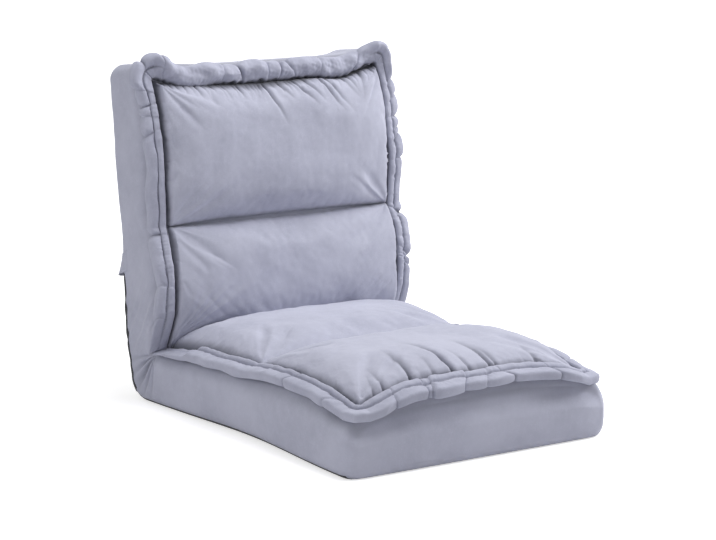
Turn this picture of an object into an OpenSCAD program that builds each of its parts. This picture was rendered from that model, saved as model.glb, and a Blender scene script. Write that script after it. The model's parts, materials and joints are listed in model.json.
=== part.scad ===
// Folding floor chair: two foam slabs on a tube frame, joined by a ratchet hinge on each side.
// Millimetres, +Z up, the chair faces -Y. The origin is the middle of the flat underside.

/* [Overall] */
// Width across the side faces of the slabs
chair_w = 550; // [480:5:620]
// Thickness of the seat slab and of the back slab
slab_t = 95; // [90:1:110]
// Seat slab, from its front face to the hinge axis
seat_len = 715; // [620:5:800]
// Back slab, from the hinge axis to its top
back_len = 600; // [540:5:700]
// Lean of the back from upright in the pose shown, degrees
lean = 6.8; // [4:0.2:20]
// Angle between seat and back when folded forward, degrees
fold_angle = 50; // [44:1:60]

/* [Covers] */
// Grey cover fabric with its lining
fabric_t = 2; // [1:0.1:3]
// Black underside fabric with its lining
base_t = 2; // [1:0.1:3]
// Rounding of the seat's long lower edges
seat_low_r = 24; // [12:1:30]
// Rounding of the back's long rear edges
back_low_r = 16; // [8:1:24]
// How much wider the seat slab is at its front, on each side
seat_flare = 14; // [0:1:24]
// Rounding of the long edges under the rims
top_edge_r = 10; // [6:1:16]
// Rounding of the free corners, seen from above
corner_r = 16; // [8:1:30]
// Rounding of the free end's edges
end_edge_r = 9; // [5:1:16]
// Height of the black fabric up the back, from the hinge axis
black_len = 193; // [120:1:260]
// Length of the rear hem flap
flap_len = 44; // [30:1:60]
// How far the flap's lower edge stands off
flap_kick = 6; // [2:0.5:9]
// Closure strip under the flap, its width
tape_w = 20; // [10:1:30]
// Closure strip, its thickness
tape_t = 1; // [0.6:0.1:2]
// Closure strip, in from the sides
tape_in = 30; // [20:1:60]

/* [Pillows and roll edge] */
// Seat channel seam, from the hinge axis
seat_channel = 365; // [300:5:420]
// Back channel seam, from the hinge axis
back_channel = 290; // [240:5:340]
// Height of the seat pillows over the slab
seat_crown = 84; // [60:1:90]
// Height of the back pillows over the slab
back_crown = 82; // [60:1:90]
// Height of the seat pillows over the slab at the channel seam
seat_channel_h = 50; // [30:1:60]
// Height of the back pillows over the slab at the channel seam
back_channel_h = 36; // [20:1:45]
// Height of the pillows over the slab at the crease
crease_h = 78; // [50:1:82]
// Width of the roll edge
rim_w = 38; // [30:1:50]
// Thickness of the roll edge
rim_t = 22; // [14:1:26]
// How far the roll edge overhangs the sides of the seat
seat_over = 5; // [0:1:10]
// How far the roll edge overhangs the sides of the back
back_over = 15; // [5:1:20]
// How far the roll edge's middle hangs back from the seat's front
seat_end_sag = 3; // [0:1:16]
// How far the roll edge's middle hangs back from the back's top
back_end_sag = 13; // [0:1:20]
// Height of the pillow seam over the foot of the roll edge
seam_h = 11; // [6:1:16]
// Extra reach of the roll edge at the seat's corners
seat_ear = 2; // [0:1:20]
// Extra reach of the roll edge at the back's corners
back_ear = 16; // [4:1:20]
// How far the channel seams draw the sides in
pinch_in = 4; // [2:1:12]
// Rise of the seat's roll edge over the slab at the crease
seat_rise_crease = 16; // [8:1:30]
// Its rise beside the rear pillow
seat_rise_rear = 22; // [16:1:44]
// Its rise at the channel
seat_rise_channel = 24; // [16:1:36]
// Its rise beside the front pillow
seat_rise_front = 32; // [20:1:44]
// Its rise at the front corners
seat_rise_corner = 9; // [4:1:20]
// Its rise at the middle of the front
seat_rise_end = 38; // [16:1:44]
// How far its front corners stand out
seat_corner_out = 3; // [0:1:10]
// Rise of the back's roll edge over the slab at the crease
back_rise_crease = 34; // [20:1:44]
// Its rise beside the lumbar pillow
back_rise_lumbar = 46; // [30:1:50]
// Its rise at the channel
back_rise_channel = 32; // [20:1:40]
// Its rise beside the head pillow
back_rise_head = 44; // [30:1:50]
// Its rise at the top corners
back_rise_corner = 22; // [10:1:30]
// Its rise at the middle of the top
back_rise_end = 22; // [10:1:30]
// How far its top corners stand out
back_corner_out = 5; // [0:1:10]

/* [Frame] */
// Outer diameter of the frame tube
tube_d = 19; // [16:0.5:22]
// Wall of the frame tube
tube_wall = 1.2; // [1:0.1:2]
// Rails, in from the sides of the chair
rail_in = 50; // [40:1:90]
// Frame loop, in from the free end of a slab
frame_in = 60; // [45:1:90]
// Bend radius at the tube's centre line
bend_r = 60; // [40:1:90]
// Outer diameter of the cross bars
bar_d = 12; // [8:0.5:14]

/* [Ratchet hinge] */
// Ratchet plate thickness
gear_t = 4; // [3:0.1:5]
// Cheek plate thickness
cheek_t = 2; // [1.5:0.1:3]
// Cheek plate radius round the hinge axis
cheek_r = 31; // [29:0.5:34]
// Ratchet tooth tip radius
tip_r = 26; // [24:0.5:27]
// Ratchet tooth height
tooth_h = 2.8; // [2:0.1:3.4]
// Steps from the pose shown to flat
steps = 13; // [5:1:13]
// Main pivot rivet diameter
pivot_d = 10; // [8:0.5:12]
// Small rivet diameter
rivet_d = 6; // [4:0.5:6.5]
// Pawl pivot, from the hinge axis
pawl_pivot_r = 33; // [32:0.5:34]
// Spigot in the tube, its length
plug_len = 36; // [24:1:50]
// Height of the hinge arms
arm_h = 22; // [16:1:24]
// Seat arm, from the hinge axis to the tube
seat_arm = 88; // [80:1:110]
// Back arm, from the hinge axis to the tube
back_arm = 74; // [66:1:100]

/* [Clearances] */
// Between soft layers and between a layer and what it wraps
gap = 0.3; // [0.2:0.05:0.5]
// Between a wedge face and the fold plane
wedge_gap = 0.4; // [0.3:0.05:0.6]
// Radial clearance of rivets in their holes
run_gap = 0.06; // [0.03:0.01:0.1]
// Side clearance of the plates
side_gap = 0.15; // [0.1:0.05:0.3]
// Air between the lifted pawl and the tooth tips
pawl_air = 0.4; // [0.3:0.05:0.8]

/* [Hidden] */
half_fold = fold_angle / 2;
upright = 90 - lean;
hinge_y = seat_len / 2;
hinge_z = slab_t / 2;
half_t = slab_t / 2;
half_w = chair_w / 2;
// How far cuts run past what they cut
over = 5;
round_fn = 64;
// The seat ends in a round nose, the fabric wraps it, and the back is hollowed round both
nose_r = half_t - base_t - gap;
wrap_in_r = nose_r + gap;
wrap_out_r = half_t - gap;
wrap_n = 4;
hollow_r = half_t + gap;
heel = 0.55 * half_t;
rail_x = half_w - rail_in;
tube_r = tube_d / 2;
bore_r = tube_r - tube_wall;
plug_r = bore_r - gap;
bar_r = bar_d / 2;

// The pitch of the ratchet gaps brings a gap to the pawl in the pose shown and when flat
step_angle = upright / steps;
root_r = tip_r - tooth_h;
pawl_dir = 200;
pawl_pivot_dir = 235;
first_gap = pawl_dir - upright;
root_half = 0.14 * step_angle;
tip_half = 0.125 * step_angle;
pivot_r = pivot_d / 2;
rivet_r = rivet_d / 2;
// Rivet heads, and the collar between an arm and its tube
head_t = 2.4;
collar = 4;
cheek_x = gear_t / 2 + side_gap;
grip = gear_t + 2 * side_gap + 2 * cheek_t;

// The pawl is drawn dropped in a gap, then lifted about its rivet
function polar(r, a) = [r * cos(a), r * sin(a)];
pawl_pivot = polar(pawl_pivot_r, pawl_pivot_dir);
nose_tip_r = root_r + pawl_air;
nose_tip = polar(nose_tip_r, pawl_dir);
knee_r = tip_r + 0.11 * tip_r;
knee = polar(knee_r, pawl_dir);
pawl_lever = norm(nose_tip - pawl_pivot);
lever_vec = nose_tip - pawl_pivot;
lever_dir = atan2(lever_vec[1], lever_vec[0]);
pawl_skew = pawl_dir - 90 - lever_dir;
pawl_lift = asin((tooth_h + pawl_air) / (pawl_lever * cos(pawl_skew)));
pawl_t = gear_t - side_gap;
// Its boss, limb and tail, then the leaf spring under the tail
boss_wall = 2;
pawl_boss_r = rivet_r + boss_wall;
limb_w = 4.4;
tail_len = 12;
tail_dir = 175;
tail_tip = pawl_pivot + polar(tail_len, tail_dir + pawl_lift);
tail_under = tail_tip + polar(limb_w / 2 + gap, tail_dir + pawl_lift + 90);
leaf_t = 0.8;
leaf_len = 14;
leaf_w = 3;
leaf_ring_r = rivet_r + run_gap + leaf_t;
spring_pin = [tail_under[0] - leaf_len + leaf_t, tail_under[1] - leaf_ring_r - gap];
lobe_wall = 4;
lobe_r = rivet_r + lobe_wall;
tongue_len = 30;
tongue_in = seat_arm - collar - tongue_len;
// Rivets through the cheeks and the seat spigot, and the pins across the tubes
rivet_places = [tongue_in + 1.3 * rivet_d, seat_arm - collar - 1.3 * rivet_d];
tube_rivet_r = 2.4;
plug_rivet_share = 0.5;

// Pockets in the foam round the hinges, and the slot that the back arm sweeps
pocket_air = 1.6;
slot_air = 1.5;
pocket_w = grip + 2 * head_t + 2 * pocket_air;
pocket_r = cheek_r + 2 * pocket_air;
pocket_low = -spring_pin[1] + lobe_r + pocket_air;
pocket_high = arm_h / 2 + cheek_t + pocket_air;
slot_w = gear_t + 2 * slot_air;
sweep_side = 22;
sweep_n = 8;

// Outline of the roll edge's section: out from the seam and up from the foot, as shares
rim_droop_share = 0.12;
rim_section_share = [
  [0.02, 0.00], [0.30, 0.00], [0.52, 0.00], [0.74, -rim_droop_share], [0.92, -0.08], [1.00, 0.22],
  [0.96, 0.60], [0.80, 0.84], [0.61, 0.60], [0.44, 0.97], [0.20, 1.00], [0.02, 0.62]
];
rim_core_share = [0.45, 0.40];
// The pillows' flat skirts under the roll edge
skirt_in = 6;
skirt_x = half_w - skirt_in;
skirt_gap = rim_droop_share * rim_t + gap;
seam_turn_r = 3 * gap;
// Steps across and along a pillow, and along the roll edge's sides, turns and end
nx = 24;
ny = 16;
leg_n = 20;
turn_n = 5;
end_n = 17;
bottom_z = half_t + gap;

// A slab's form: length, channel, and the rise of the roll edge's foot at
// the crease, the inner pillow, the channel, the outer pillow, the corner and the end's middle,
// then the crown, the side overhang, the corner overhang, the sag, the height at the channel
// and the reach at the corners
seat_form = [
  seat_len, seat_channel, seat_rise_crease, seat_rise_rear, seat_rise_channel, seat_rise_front,
  seat_rise_corner, seat_rise_end, seat_crown, seat_over, seat_corner_out, seat_end_sag,
  seat_channel_h, seat_ear
];
back_form = [
  back_len, back_channel, back_rise_crease, back_rise_lumbar, back_rise_channel, back_rise_head,
  back_rise_corner, back_rise_end, back_crown, back_over, back_corner_out, back_end_sag,
  back_channel_h, back_ear
];

function mix(a, b, s) = a + (b - a) * s;
// Distance from the hinge axis to the fold plane's face at a height over the axis
function fold_t(z) = z / tan(half_fold) + wedge_gap / sin(half_fold);
crease_t = fold_t(bottom_z);
function seam_x(q) = half_w + q[9] - rim_w;
function seam_t(q) = q[0] + q[10] - rim_w;
// The seam line at the free end sags towards the middle
function end_t(q, x) = mix(q[0] - q[11] - rim_w, seam_t(q), min(1, pow(abs(x) / seam_x(q), 3)));
function arch(a, mid, b, s) = mix(a, b, s) + (mid - (a + b) / 2) * sin(180 * s);
function side_lift(q, t) =
  t < q[1] ? arch(q[2], q[3], q[4], max(0, (t - crease_t) / (q[1] - crease_t)))
           : arch(q[4], q[5], q[6], min(1, (t - q[1]) / (seam_t(q) - q[1])));
function end_lift(q, x) = mix(q[7], q[6], min(1, pow(abs(x) / seam_x(q), 4)));
function edge_x(q, t) = seam_x(q) - pinch_in * exp(-pow((t - q[1]) / (3 * rim_t), 2));
// A nominal place between the crease and the channel, moved onto the slanted fold plane
function leaned_t(q, t, z) =
  t >= q[1] ? t : mix(fold_t(z), q[1], (t - crease_t) / (q[1] - crease_t));
function dome(u, v) = sqrt(max(0, 1 - pow(abs(u), 6))) * sqrt(max(0, 1 - pow(abs(2 * v - 1), 3)));
function side_h(q, t) = side_lift(q, t) + seam_h;
function base_h(q, x, u, v, t, near_h, far_h) =
  mix(mix(near_h, far_h, v), side_h(q, t), pow(abs(u), 4));
function pillow_h(q, x, u, v, t, near_h, far_h) =
  mix(base_h(q, x, u, v, t, near_h, far_h), q[8], dome(u, v));

// Columns across a pillow: the skirt's edge, the foot of the seam, then shares of the half width
function share_u(i) = -cos(180 * i / nx);
function column_x(q, t, i) =
  i == 0 ? -skirt_x
  : i == 1 ? -edge_x(q, t)
  : i == nx + 3 ? edge_x(q, t)
  : i == nx + 4 ? skirt_x
  : (edge_x(q, t) - gap) * share_u(i - 2);
function in_skirt(i) = i < 2 || i > nx + 2;
function skirt_h(q, t) = side_lift(q, t) - skirt_gap;
function share_v(j) = (1 - cos(180 * j / ny)) / 2;

// Top of the pillow between the crease and the channel
function inner_point(q, i, j) =
  let (
    v = share_v(j),
    t = mix(crease_t, q[1] - gap, v),
    x = column_x(q, t, i),
    u = in_skirt(i) ? 1 : share_u(i - 2),
    h = in_skirt(i) ? skirt_h(q, t) : pillow_h(q, x, u, v, t, crease_h, q[12]),
    z = bottom_z + h
  ) [x, leaned_t(q, t, z), z];

// Top of the pillow between the channel and the free end
function outer_row_t(q, j, x) =
  j == ny + 2 ? q[0] - skirt_in
  : j == ny + 1 ? end_t(q, x)
  : mix(q[1] + gap, end_t(q, x) - gap, share_v(j));
function outer_point(q, i, j) =
  let (
    v = share_v(min(j, ny)),
    x = column_x(q, outer_row_t(q, j, seam_x(q)), i),
    t = outer_row_t(q, j, x),
    u = in_skirt(i) ? 1 : share_u(i - 2),
    skirt = in_skirt(i) || j > ny,
    foot = min(skirt_h(q, t), j > ny ? end_lift(q, x) - skirt_gap : skirt_h(q, t)),
    far_h = end_lift(q, x) + seam_h,
    h = skirt ? foot : pillow_h(q, x, u, v, t, q[12], far_h)
  ) [x, t, bottom_z + h];

// Turns a grid of top points and a ring of bottom points into a closed solid
function ring_ij(k, n, m) =
  k < n ? [k, 0] : k < n + m ? [n, k - n] : k < 2 * n + m ? [2 * n + m - k, m] : [0, 2 * (n + m) - k];
module mat_solid(top, ring, centre, n, m) {
  w = n + 1;
  count = w * (m + 1);
  around = 2 * (n + m);
  top_faces = [
    for (j = [0 : m - 1], i = [0 : n - 1], s = [0, 1])
      s == 0 ? [j * w + i, (j + 1) * w + i, (j + 1) * w + i + 1]
             : [j * w + i, (j + 1) * w + i + 1, j * w + i + 1]
  ];
  ring_faces = [
    for (k = [0 : around - 1], s = [0 : 2])
      let (
        l = (k + 1) % around,
        a = ring_ij(k, n, m),
        b = ring_ij(l, n, m),
        ta = a[1] * w + a[0],
        tb = b[1] * w + b[0]
      )
      s == 0 ? [count + k, ta, tb] : s == 1 ? [count + k, tb, count + l]
             : [count + k, count + l, count + around]
  ];
  polyhedron(points = concat(top, ring, [centre]), faces = concat(top_faces, ring_faces), convexity = 6);
}
module inner_pillow(q) {
  n = nx + 4;
  top = [for (j = [0 : ny], i = [0 : n]) inner_point(q, i, j)];
  ring = [
    for (k = [0 : 2 * (n + ny) - 1])
      let (a = ring_ij(k, n, ny), t = mix(crease_t, q[1] - gap, share_v(a[1])))
      [column_x(q, t, a[0]), t, bottom_z]
  ];
  mat_solid(top, ring, [0, (crease_t + q[1]) / 2, bottom_z], n, ny);
}
module outer_pillow(q) {
  n = nx + 4;
  m = ny + 2;
  top = [for (j = [0 : m], i = [0 : n]) outer_point(q, i, j)];
  ring = [
    for (k = [0 : 2 * (n + m) - 1])
      let (a = ring_ij(k, n, m), x = column_x(q, outer_row_t(q, a[1], seam_x(q)), a[0]))
      [x, outer_row_t(q, a[1], x), bottom_z]
  ];
  mat_solid(top, ring, [0, (q[0] + q[1]) / 2, bottom_z], n, m);
}

// The roll edge runs from the crease up one side, over the free end and down the other side
function pleat(k) = 1 + 0.05 * sin(127 * k) + 0.04 * sin(61 * k + 40);
function leg_station(q, side, s) =
  let (t = mix(crease_t, seam_t(q) - seam_turn_r, s))
  [side * edge_x(q, t), t, side < 0 ? 180 : 0, side_lift(q, t), 1];
function turn_station(q, side, s) =
  let (
    a = side < 0 ? mix(180, 90, s) : mix(90, 0, s),
    mitre = 1 / max(abs(cos(a)), abs(sin(a))),
    reach = mix(1, mitre, 0.7) + (q[13] / rim_w) * pow(sin(2 * a), 2) * 0.6
  )
  [
    side * (seam_x(q) - seam_turn_r) + seam_turn_r * cos(a), seam_t(q) - seam_turn_r + seam_turn_r * sin(a),
    a, q[6], reach
  ];
function end_station(q, s) =
  let (x = mix(-(seam_x(q) - seam_turn_r), seam_x(q) - seam_turn_r, s))
  [x, mix(end_t(q, x), seam_t(q), pow(abs(2 * s - 1), 20)), 90, end_lift(q, x), 1];
function rim_stations(q) = concat(
  [for (k = [0 : leg_n]) leg_station(q, -1, k / leg_n)],
  [for (k = [1 : turn_n - 1]) turn_station(q, -1, k / turn_n)],
  [for (k = [0 : end_n]) end_station(q, k / end_n)],
  [for (k = [1 : turn_n - 1]) turn_station(q, 1, k / turn_n)],
  [for (k = [0 : leg_n]) leg_station(q, 1, 1 - k / leg_n)]
);
function rim_point(q, st, share, k) =
  let (
    a = share[0] * rim_w * st[4] * (share[0] > 0.5 ? pleat(k) : 1),
    z = bottom_z + st[3] + share[1] * rim_t * (share[1] > 0.3 ? pleat(k + 7) : 1),
    t = st[1] + a * sin(st[2])
  )
  [st[0] + a * cos(st[2]), leaned_t(q, t, z), z];
module roll_edge(q) {
  stations = rim_stations(q);
  n = len(stations);
  m = len(rim_section_share);
  points = [for (k = [0 : n - 1], i = [0 : m - 1]) rim_point(q, stations[k], rim_section_share[i], k)];
  wall = [
    for (k = [0 : n - 2], i = [0 : m - 1], s = [0, 1])
      let (j = (i + 1) % m)
      s == 0 ? [k * m + i, (k + 1) * m + j, k * m + j] : [k * m + i, (k + 1) * m + i, (k + 1) * m + j]
  ];
  centres = [for (k = [0, n - 1]) rim_point(q, stations[k], rim_core_share, k)];
  caps = [
    for (i = [0 : m - 1], s = [0, 1])
      let (j = (i + 1) % m)
      s == 0 ? [n * m, i, j] : [n * m + 1, (n - 1) * m + j, (n - 1) * m + i]
  ];
  polyhedron(points = concat(points, centres), faces = concat(wall, caps), convexity = 8);
}

// The crease filler lies between the two fold planes and swells up to the ends of the pillows
crease_seat = 180 - half_fold;
crease_back = upright + half_fold;
gusset_n = 10;
valley_share = 0.16;
gusset_side = half_w - gap;
pad_x = seam_x(seat_form) - pinch_in;
gusset_share = [-1, -0.92, -0.75, -0.5, -0.25, 0, 0.25, 0.5, 0.75, 0.92, 1];
gusset_x = concat(
  [-gusset_side, -skirt_x, -pad_x - fabric_t], [for (u = gusset_share) u * pad_x],
  [pad_x + fabric_t, skirt_x, gusset_side]
);
function gusset_top_h(q, x) =
  abs(x) > skirt_x + gap ? 0
  : abs(x) > pad_x + gap ? q[2] + 0.8 * rim_t
  : mix(crease_h, side_h(q, crease_t), pow(abs(x) / pad_x, 4)) - gap;
function gusset_point(x, s, r) =
  let (a = mix(crease_seat, crease_back, s), c = gap * (1 - 2 * s))
  [x, r * cos(a) + c * sin(a), r * sin(a) - c * cos(a)];
function gusset_r(x, s) =
  let (
    swing = half_fold + (crease_seat - crease_back) * min(s, 1 - s),
    flat_r = (half_t + gusset_top_h(s < 0.5 ? seat_form : back_form, x)) / sin(swing)
  )
  max(wrap_in_r + fabric_t, flat_r * (1 - valley_share * exp(-pow((s - 0.5) / 0.15, 2))));
module crease_solid() {
  n = len(gusset_x) - 1;
  w = n + 1;
  m = gusset_n;
  count = w * (m + 1);
  top = [for (j = [0 : m], i = [0 : n]) gusset_point(gusset_x[i], j / m, gusset_r(gusset_x[i], j / m))];
  low = [for (j = [0 : m], i = [0 : n]) gusset_point(gusset_x[i], j / m, wrap_in_r)];
  skin = [
    for (j = [0 : m - 1], i = [0 : n - 1], s = [0 : 3])
      let (a = j * w + i, b = a + 1, c = a + w, d = c + 1)
      s == 0 ? [a, c, d] : s == 1 ? [a, d, b]
      : s == 2 ? [count + a, count + d, count + c] : [count + a, count + b, count + d]
  ];
  around = 2 * (n + m);
  edge = [
    for (k = [0 : around - 1], s = [0, 1])
      let (
        a = ring_ij(k, n, m),
        b = ring_ij((k + 1) % around, n, m),
        ta = a[1] * w + a[0],
        tb = b[1] * w + b[0]
      )
      s == 0 ? [count + ta, ta, tb] : [count + ta, tb, count + tb]
  ];
  polyhedron(points = concat(top, low), faces = concat(skin, edge), convexity = 6);
}

// Frames: a slab is drawn from the hinge axis along +Y with its padded side up
module at_axis() {
  translate([0, hinge_y, hinge_z]) children();
}
module on_seat() {
  at_axis() rotate([0, 0, 180]) children();
}
module on_back() {
  at_axis() rotate([upright, 0, 0]) children();
}
// A side view drawn in Y and Z, made into a solid of a given width across X
module across(w) {
  rotate([90, 0, 90]) linear_extrude(height = w, center = true) children();
}

// Slab outlines
module soft_rect(x0, x1, y0, y1, r0, r1) {
  translate([x0, y0 + r0]) square([x1 - x0, y1 - y0 - r0 - r1]);
  translate([x0 + r0, y0]) square([x1 - x0 - 2 * r0, (y1 - y0) / 2]);
  translate([x0 + r1, (y0 + y1) / 2]) square([x1 - x0 - 2 * r1, (y1 - y0) / 2]);
  for (x = [x0 + r0, x1 - r0]) translate([x, y0 + r0]) circle(r = r0, $fn = round_fn);
  for (x = [x0 + r1, x1 - r1]) translate([x, y1 - r1]) circle(r = r1, $fn = round_fn);
}
module end_rect(len, off, low) {
  r = end_edge_r - off;
  difference() {
    soft_rect(-len, len - off, -half_t + low, half_t - off, r, r);
    translate([-2 * len, -slab_t]) square([2 * len, 2 * slab_t]);
  }
}
module fold_wedge() {
  polygon([[0, -wedge_gap], [slab_t / tan(half_fold), slab_t - wedge_gap], [0, slab_t - wedge_gap]]);
}
// Each side is a straight profile, turned by half the flare
module slab_side(side, len, off, low, low_r, flare) {
  translate([side * (half_w - off), 0, 0]) rotate([0, 0, -side * atan(flare / len)])
    rotate([90, 0, 0]) translate([0, 0, -len - over]) linear_extrude(height = len + slab_t + over)
      mirror([side < 0 ? 1 : 0, 0])
        soft_rect(-2 * chair_w, 0, -half_t + low, half_t - off, low_r - low, top_edge_r - off);
}
module slab_limits(len, off, low, low_r, flare) {
  intersection() {
    slab_side(-1, len, off, low, low_r, flare);
    slab_side(1, len, off, low, low_r, flare);
  }
}
module slab_plan(len, off, flare) {
  r = corner_r - off;
  w = half_w + flare - off;
  linear_extrude(height = 2 * slab_t, center = true) union() {
    translate([-w - over, -slab_t]) square([2 * (w + over), len + slab_t - off - r]);
    translate([-w + r, 0]) square([2 * (w - r), len - off]);
    for (side = [-1, 1])
      translate([side * (w - r), len - off - r]) circle(r = r, $fn = round_fn);
  }
}
module seat_profile(off, low) {
  difference() {
    end_rect(seat_len, off, low);
    fold_wedge();
  }
  circle(r = nose_r, $fn = 2 * round_fn);
}
module back_profile(off, low) {
  difference() {
    end_rect(back_len, off, low);
    fold_wedge();
    circle(r = hollow_r, $fn = 2 * round_fn);
    translate([-slab_t, -slab_t]) square([slab_t + heel, slab_t]);
  }
}
module seat_block(off, low) {
  intersection() {
    across(chair_w) seat_profile(off, low);
    slab_plan(seat_len, off, seat_flare);
    slab_limits(seat_len, off, low, seat_low_r, seat_flare);
  }
}
module back_block(off, low) {
  intersection() {
    across(chair_w) back_profile(off, low);
    slab_plan(back_len, off, 0);
    slab_limits(back_len, off, low, back_low_r, 0);
  }
}
// The hollow inside a cover, open at the hinge end
module cover_hollow(len, low_r, flare) {
  intersection() {
    across(chair_w) union() {
      end_rect(len, fabric_t, fabric_t);
      translate([-slab_t, -half_t + fabric_t]) square([2 * slab_t, slab_t - 2 * fabric_t]);
    }
    slab_plan(len, fabric_t, flare);
    slab_limits(len, fabric_t, fabric_t, low_r, flare);
  }
}
// A box that spans the slab's rear or under face to a depth, between two places along it
module face_box(t0, t1, depth) {
  translate([-chair_w, t0, -slab_t]) cube([2 * chair_w, t1 - t0, half_t + depth]);
}

// Frame tubes
module u_tube(len, start, r, extra) {
  far = len - frame_in;
  for (side = [-1, 1]) {
    translate([side * rail_x, start - extra, 0]) rotate([-90, 0, 0])
      cylinder(r = r, h = far - bend_r - start + extra, $fn = round_fn);
    translate([side * (rail_x - bend_r), far - bend_r, 0]) rotate([0, 0, side > 0 ? 0 : 90])
      rotate_extrude(angle = 90, $fn = round_fn) translate([bend_r, 0]) circle(r = r, $fn = round_fn);
  }
  translate([-(rail_x - bend_r), far, 0]) rotate([0, 90, 0])
    cylinder(r = r, h = 2 * (rail_x - bend_r), $fn = round_fn);
}
module tube_frame(len, start) {
  difference() {
    u_tube(len, start, tube_r, 0);
    u_tube(len, start, bore_r, over);
    plug_pins(start, tube_rivet_r + run_gap, tube_d + over);
  }
}
module plug_pins(start, r, length) {
  for (side = [-1, 1])
    translate([side * rail_x, start + plug_rivet_share * plug_len, 0])
      cylinder(r = r, h = length, center = true, $fn = round_fn);
}
function bar_places(len, start) = [for (s = [0.28, 0.52, 0.76]) mix(start, len - frame_in, s)];
module cross_bars(len, start, r, cut_r) {
  difference() {
    for (t = bar_places(len, start))
      translate([-rail_x, t, 0]) rotate([0, 90, 0]) cylinder(r = r, h = 2 * rail_x, $fn = round_fn);
    if (cut_r > 0)
      for (side = [-1, 1])
        translate([side * rail_x, 0, 0]) rotate([-90, 0, 0]) cylinder(r = cut_r, h = len, $fn = round_fn);
  }
}
module frame_room(len, start) {
  u_tube(len, start, tube_r + gap, collar + gap);
  cross_bars(len, start, bar_r + gap, 0);
}

// Foam layers, each half of a slab with half round channels for the frame
module seat_foam(side) {
  on_seat() difference() {
    intersection() {
      seat_block(fabric_t + gap, base_t + gap);
      translate([-chair_w, -slab_t, side > 0 ? 0 : -slab_t]) cube([2 * chair_w, seat_len + slab_t, slab_t]);
    }
    frame_room(seat_len, seat_arm);
    for (x = [-rail_x, rail_x]) translate([x, 0, 0]) {
      across(pocket_w) union() {
        circle(r = pocket_r, $fn = round_fn);
        translate([0, -pocket_low]) square([seat_arm + gap, pocket_low + pocket_high]);
      }
      across(slot_w) polygon(concat(
        [[0, 0]],
        [for (s = [0 : sweep_n]) polar(slab_t, mix(180 + sweep_side, fold_angle - sweep_side, s / sweep_n))]
      ));
    }
  }
}
module back_foam(side) {
  on_back() difference() {
    intersection() {
      back_block(fabric_t + gap, base_t + gap);
      translate([-chair_w, 0, side > 0 ? 0 : -slab_t]) cube([2 * chair_w, back_len, slab_t]);
    }
    frame_room(back_len, back_arm);
    for (x = [-rail_x, rail_x]) translate([x, 0, 0])
      across(gear_t + 2 * gap) translate([0, -arm_h / 2 - gap]) square([back_arm, arm_h + 2 * gap]);
  }
}

// Hinge plates, drawn in Y and Z about the axis in the pose shown
module cheek_outline() {
  difference() {
    union() {
      circle(r = cheek_r, $fn = round_fn);
      polygon([
        [0, arm_h / 2 + cheek_t], [-(seat_arm - collar), arm_h / 2 + cheek_t],
        [-(seat_arm - collar), -arm_h / 2 - cheek_t], [spring_pin[0] - lobe_r, spring_pin[1]],
        [spring_pin[0], spring_pin[1] - lobe_r], [pawl_pivot[0], pawl_pivot[1] - lobe_r],
        [pawl_pivot[0] + lobe_r, pawl_pivot[1]], [0, 0]
      ]);
    }
    circle(r = pivot_r + run_gap, $fn = round_fn);
    for (p = small_rivets()) translate(p) circle(r = rivet_r + run_gap, $fn = round_fn);
  }
}
function small_rivets() = concat([pawl_pivot, spring_pin], [for (t = rivet_places) [-t, 0]]);
module hinge_cheeks(x) {
  color("silver") at_axis() for (side = [-1, 1])
    translate([x + side * (cheek_x + cheek_t / 2), 0, 0]) across(cheek_t) cheek_outline();
}
module rivet(r) {
  head_r = 1.7 * r;
  rotate([0, 90, 0]) {
    cylinder(r = r, h = grip, center = true, $fn = round_fn);
    for (side = [0, 180]) rotate([side, 0, 0]) {
      translate([0, 0, grip / 2]) cylinder(r = head_r, h = head_t / 2, $fn = round_fn);
      translate([0, 0, grip / 2 + head_t / 2])
        cylinder(r1 = head_r, r2 = 0.6 * head_r, h = head_t / 2, $fn = round_fn);
    }
  }
}
module spigot(t0) {
  translate([0, t0 - collar, 0]) rotate([-90, 0, 0]) cylinder(r = tube_r, h = collar, $fn = round_fn);
  difference() {
    translate([0, t0 - collar / 2, 0]) rotate([-90, 0, 0])
      cylinder(r = plug_r, h = plug_len + collar / 2, $fn = round_fn);
    translate([0, t0 + plug_rivet_share * plug_len, 0])
      cylinder(r = tube_rivet_r + run_gap, h = tube_d, center = true, $fn = round_fn);
  }
}

// The ratchet plate: fourteen gaps, a stop shoulder behind them and a plain rim before them
gap_points = [
  for (k = [0 : steps])
    let (c = first_gap + k * step_angle)
    each concat(
      [polar(root_r, c - root_half), polar(root_r, c + root_half)],
      k < steps
        ? [polar(tip_r, c + step_angle / 2 - tip_half), polar(tip_r, c + step_angle / 2 + tip_half)]
        : []
    )
];
last_gap = first_gap + steps * step_angle;
shoulder_n = 4;
shoulder_points = [for (s = [0 : shoulder_n]) polar(tip_r, last_gap + step_angle / 2 + s * step_angle)];
plain_n = 30;
plain_points = [
  for (s = [1 : plain_n - 1])
    polar(root_r, mix(last_gap + (shoulder_n + 1) * step_angle, first_gap + 360 - root_half, s / plain_n))
];
module ratchet_outline() {
  difference() {
    union() {
      polygon(concat(gap_points, shoulder_points, plain_points));
      translate([0, -arm_h / 2]) square([back_arm - collar / 2, arm_h]);
    }
    circle(r = pivot_r + run_gap, $fn = round_fn);
  }
}
module ratchet_arm(x) {
  color("slategray") on_back() translate([x, 0, 0]) {
    across(gear_t) ratchet_outline();
    spigot(back_arm);
  }
}

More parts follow.
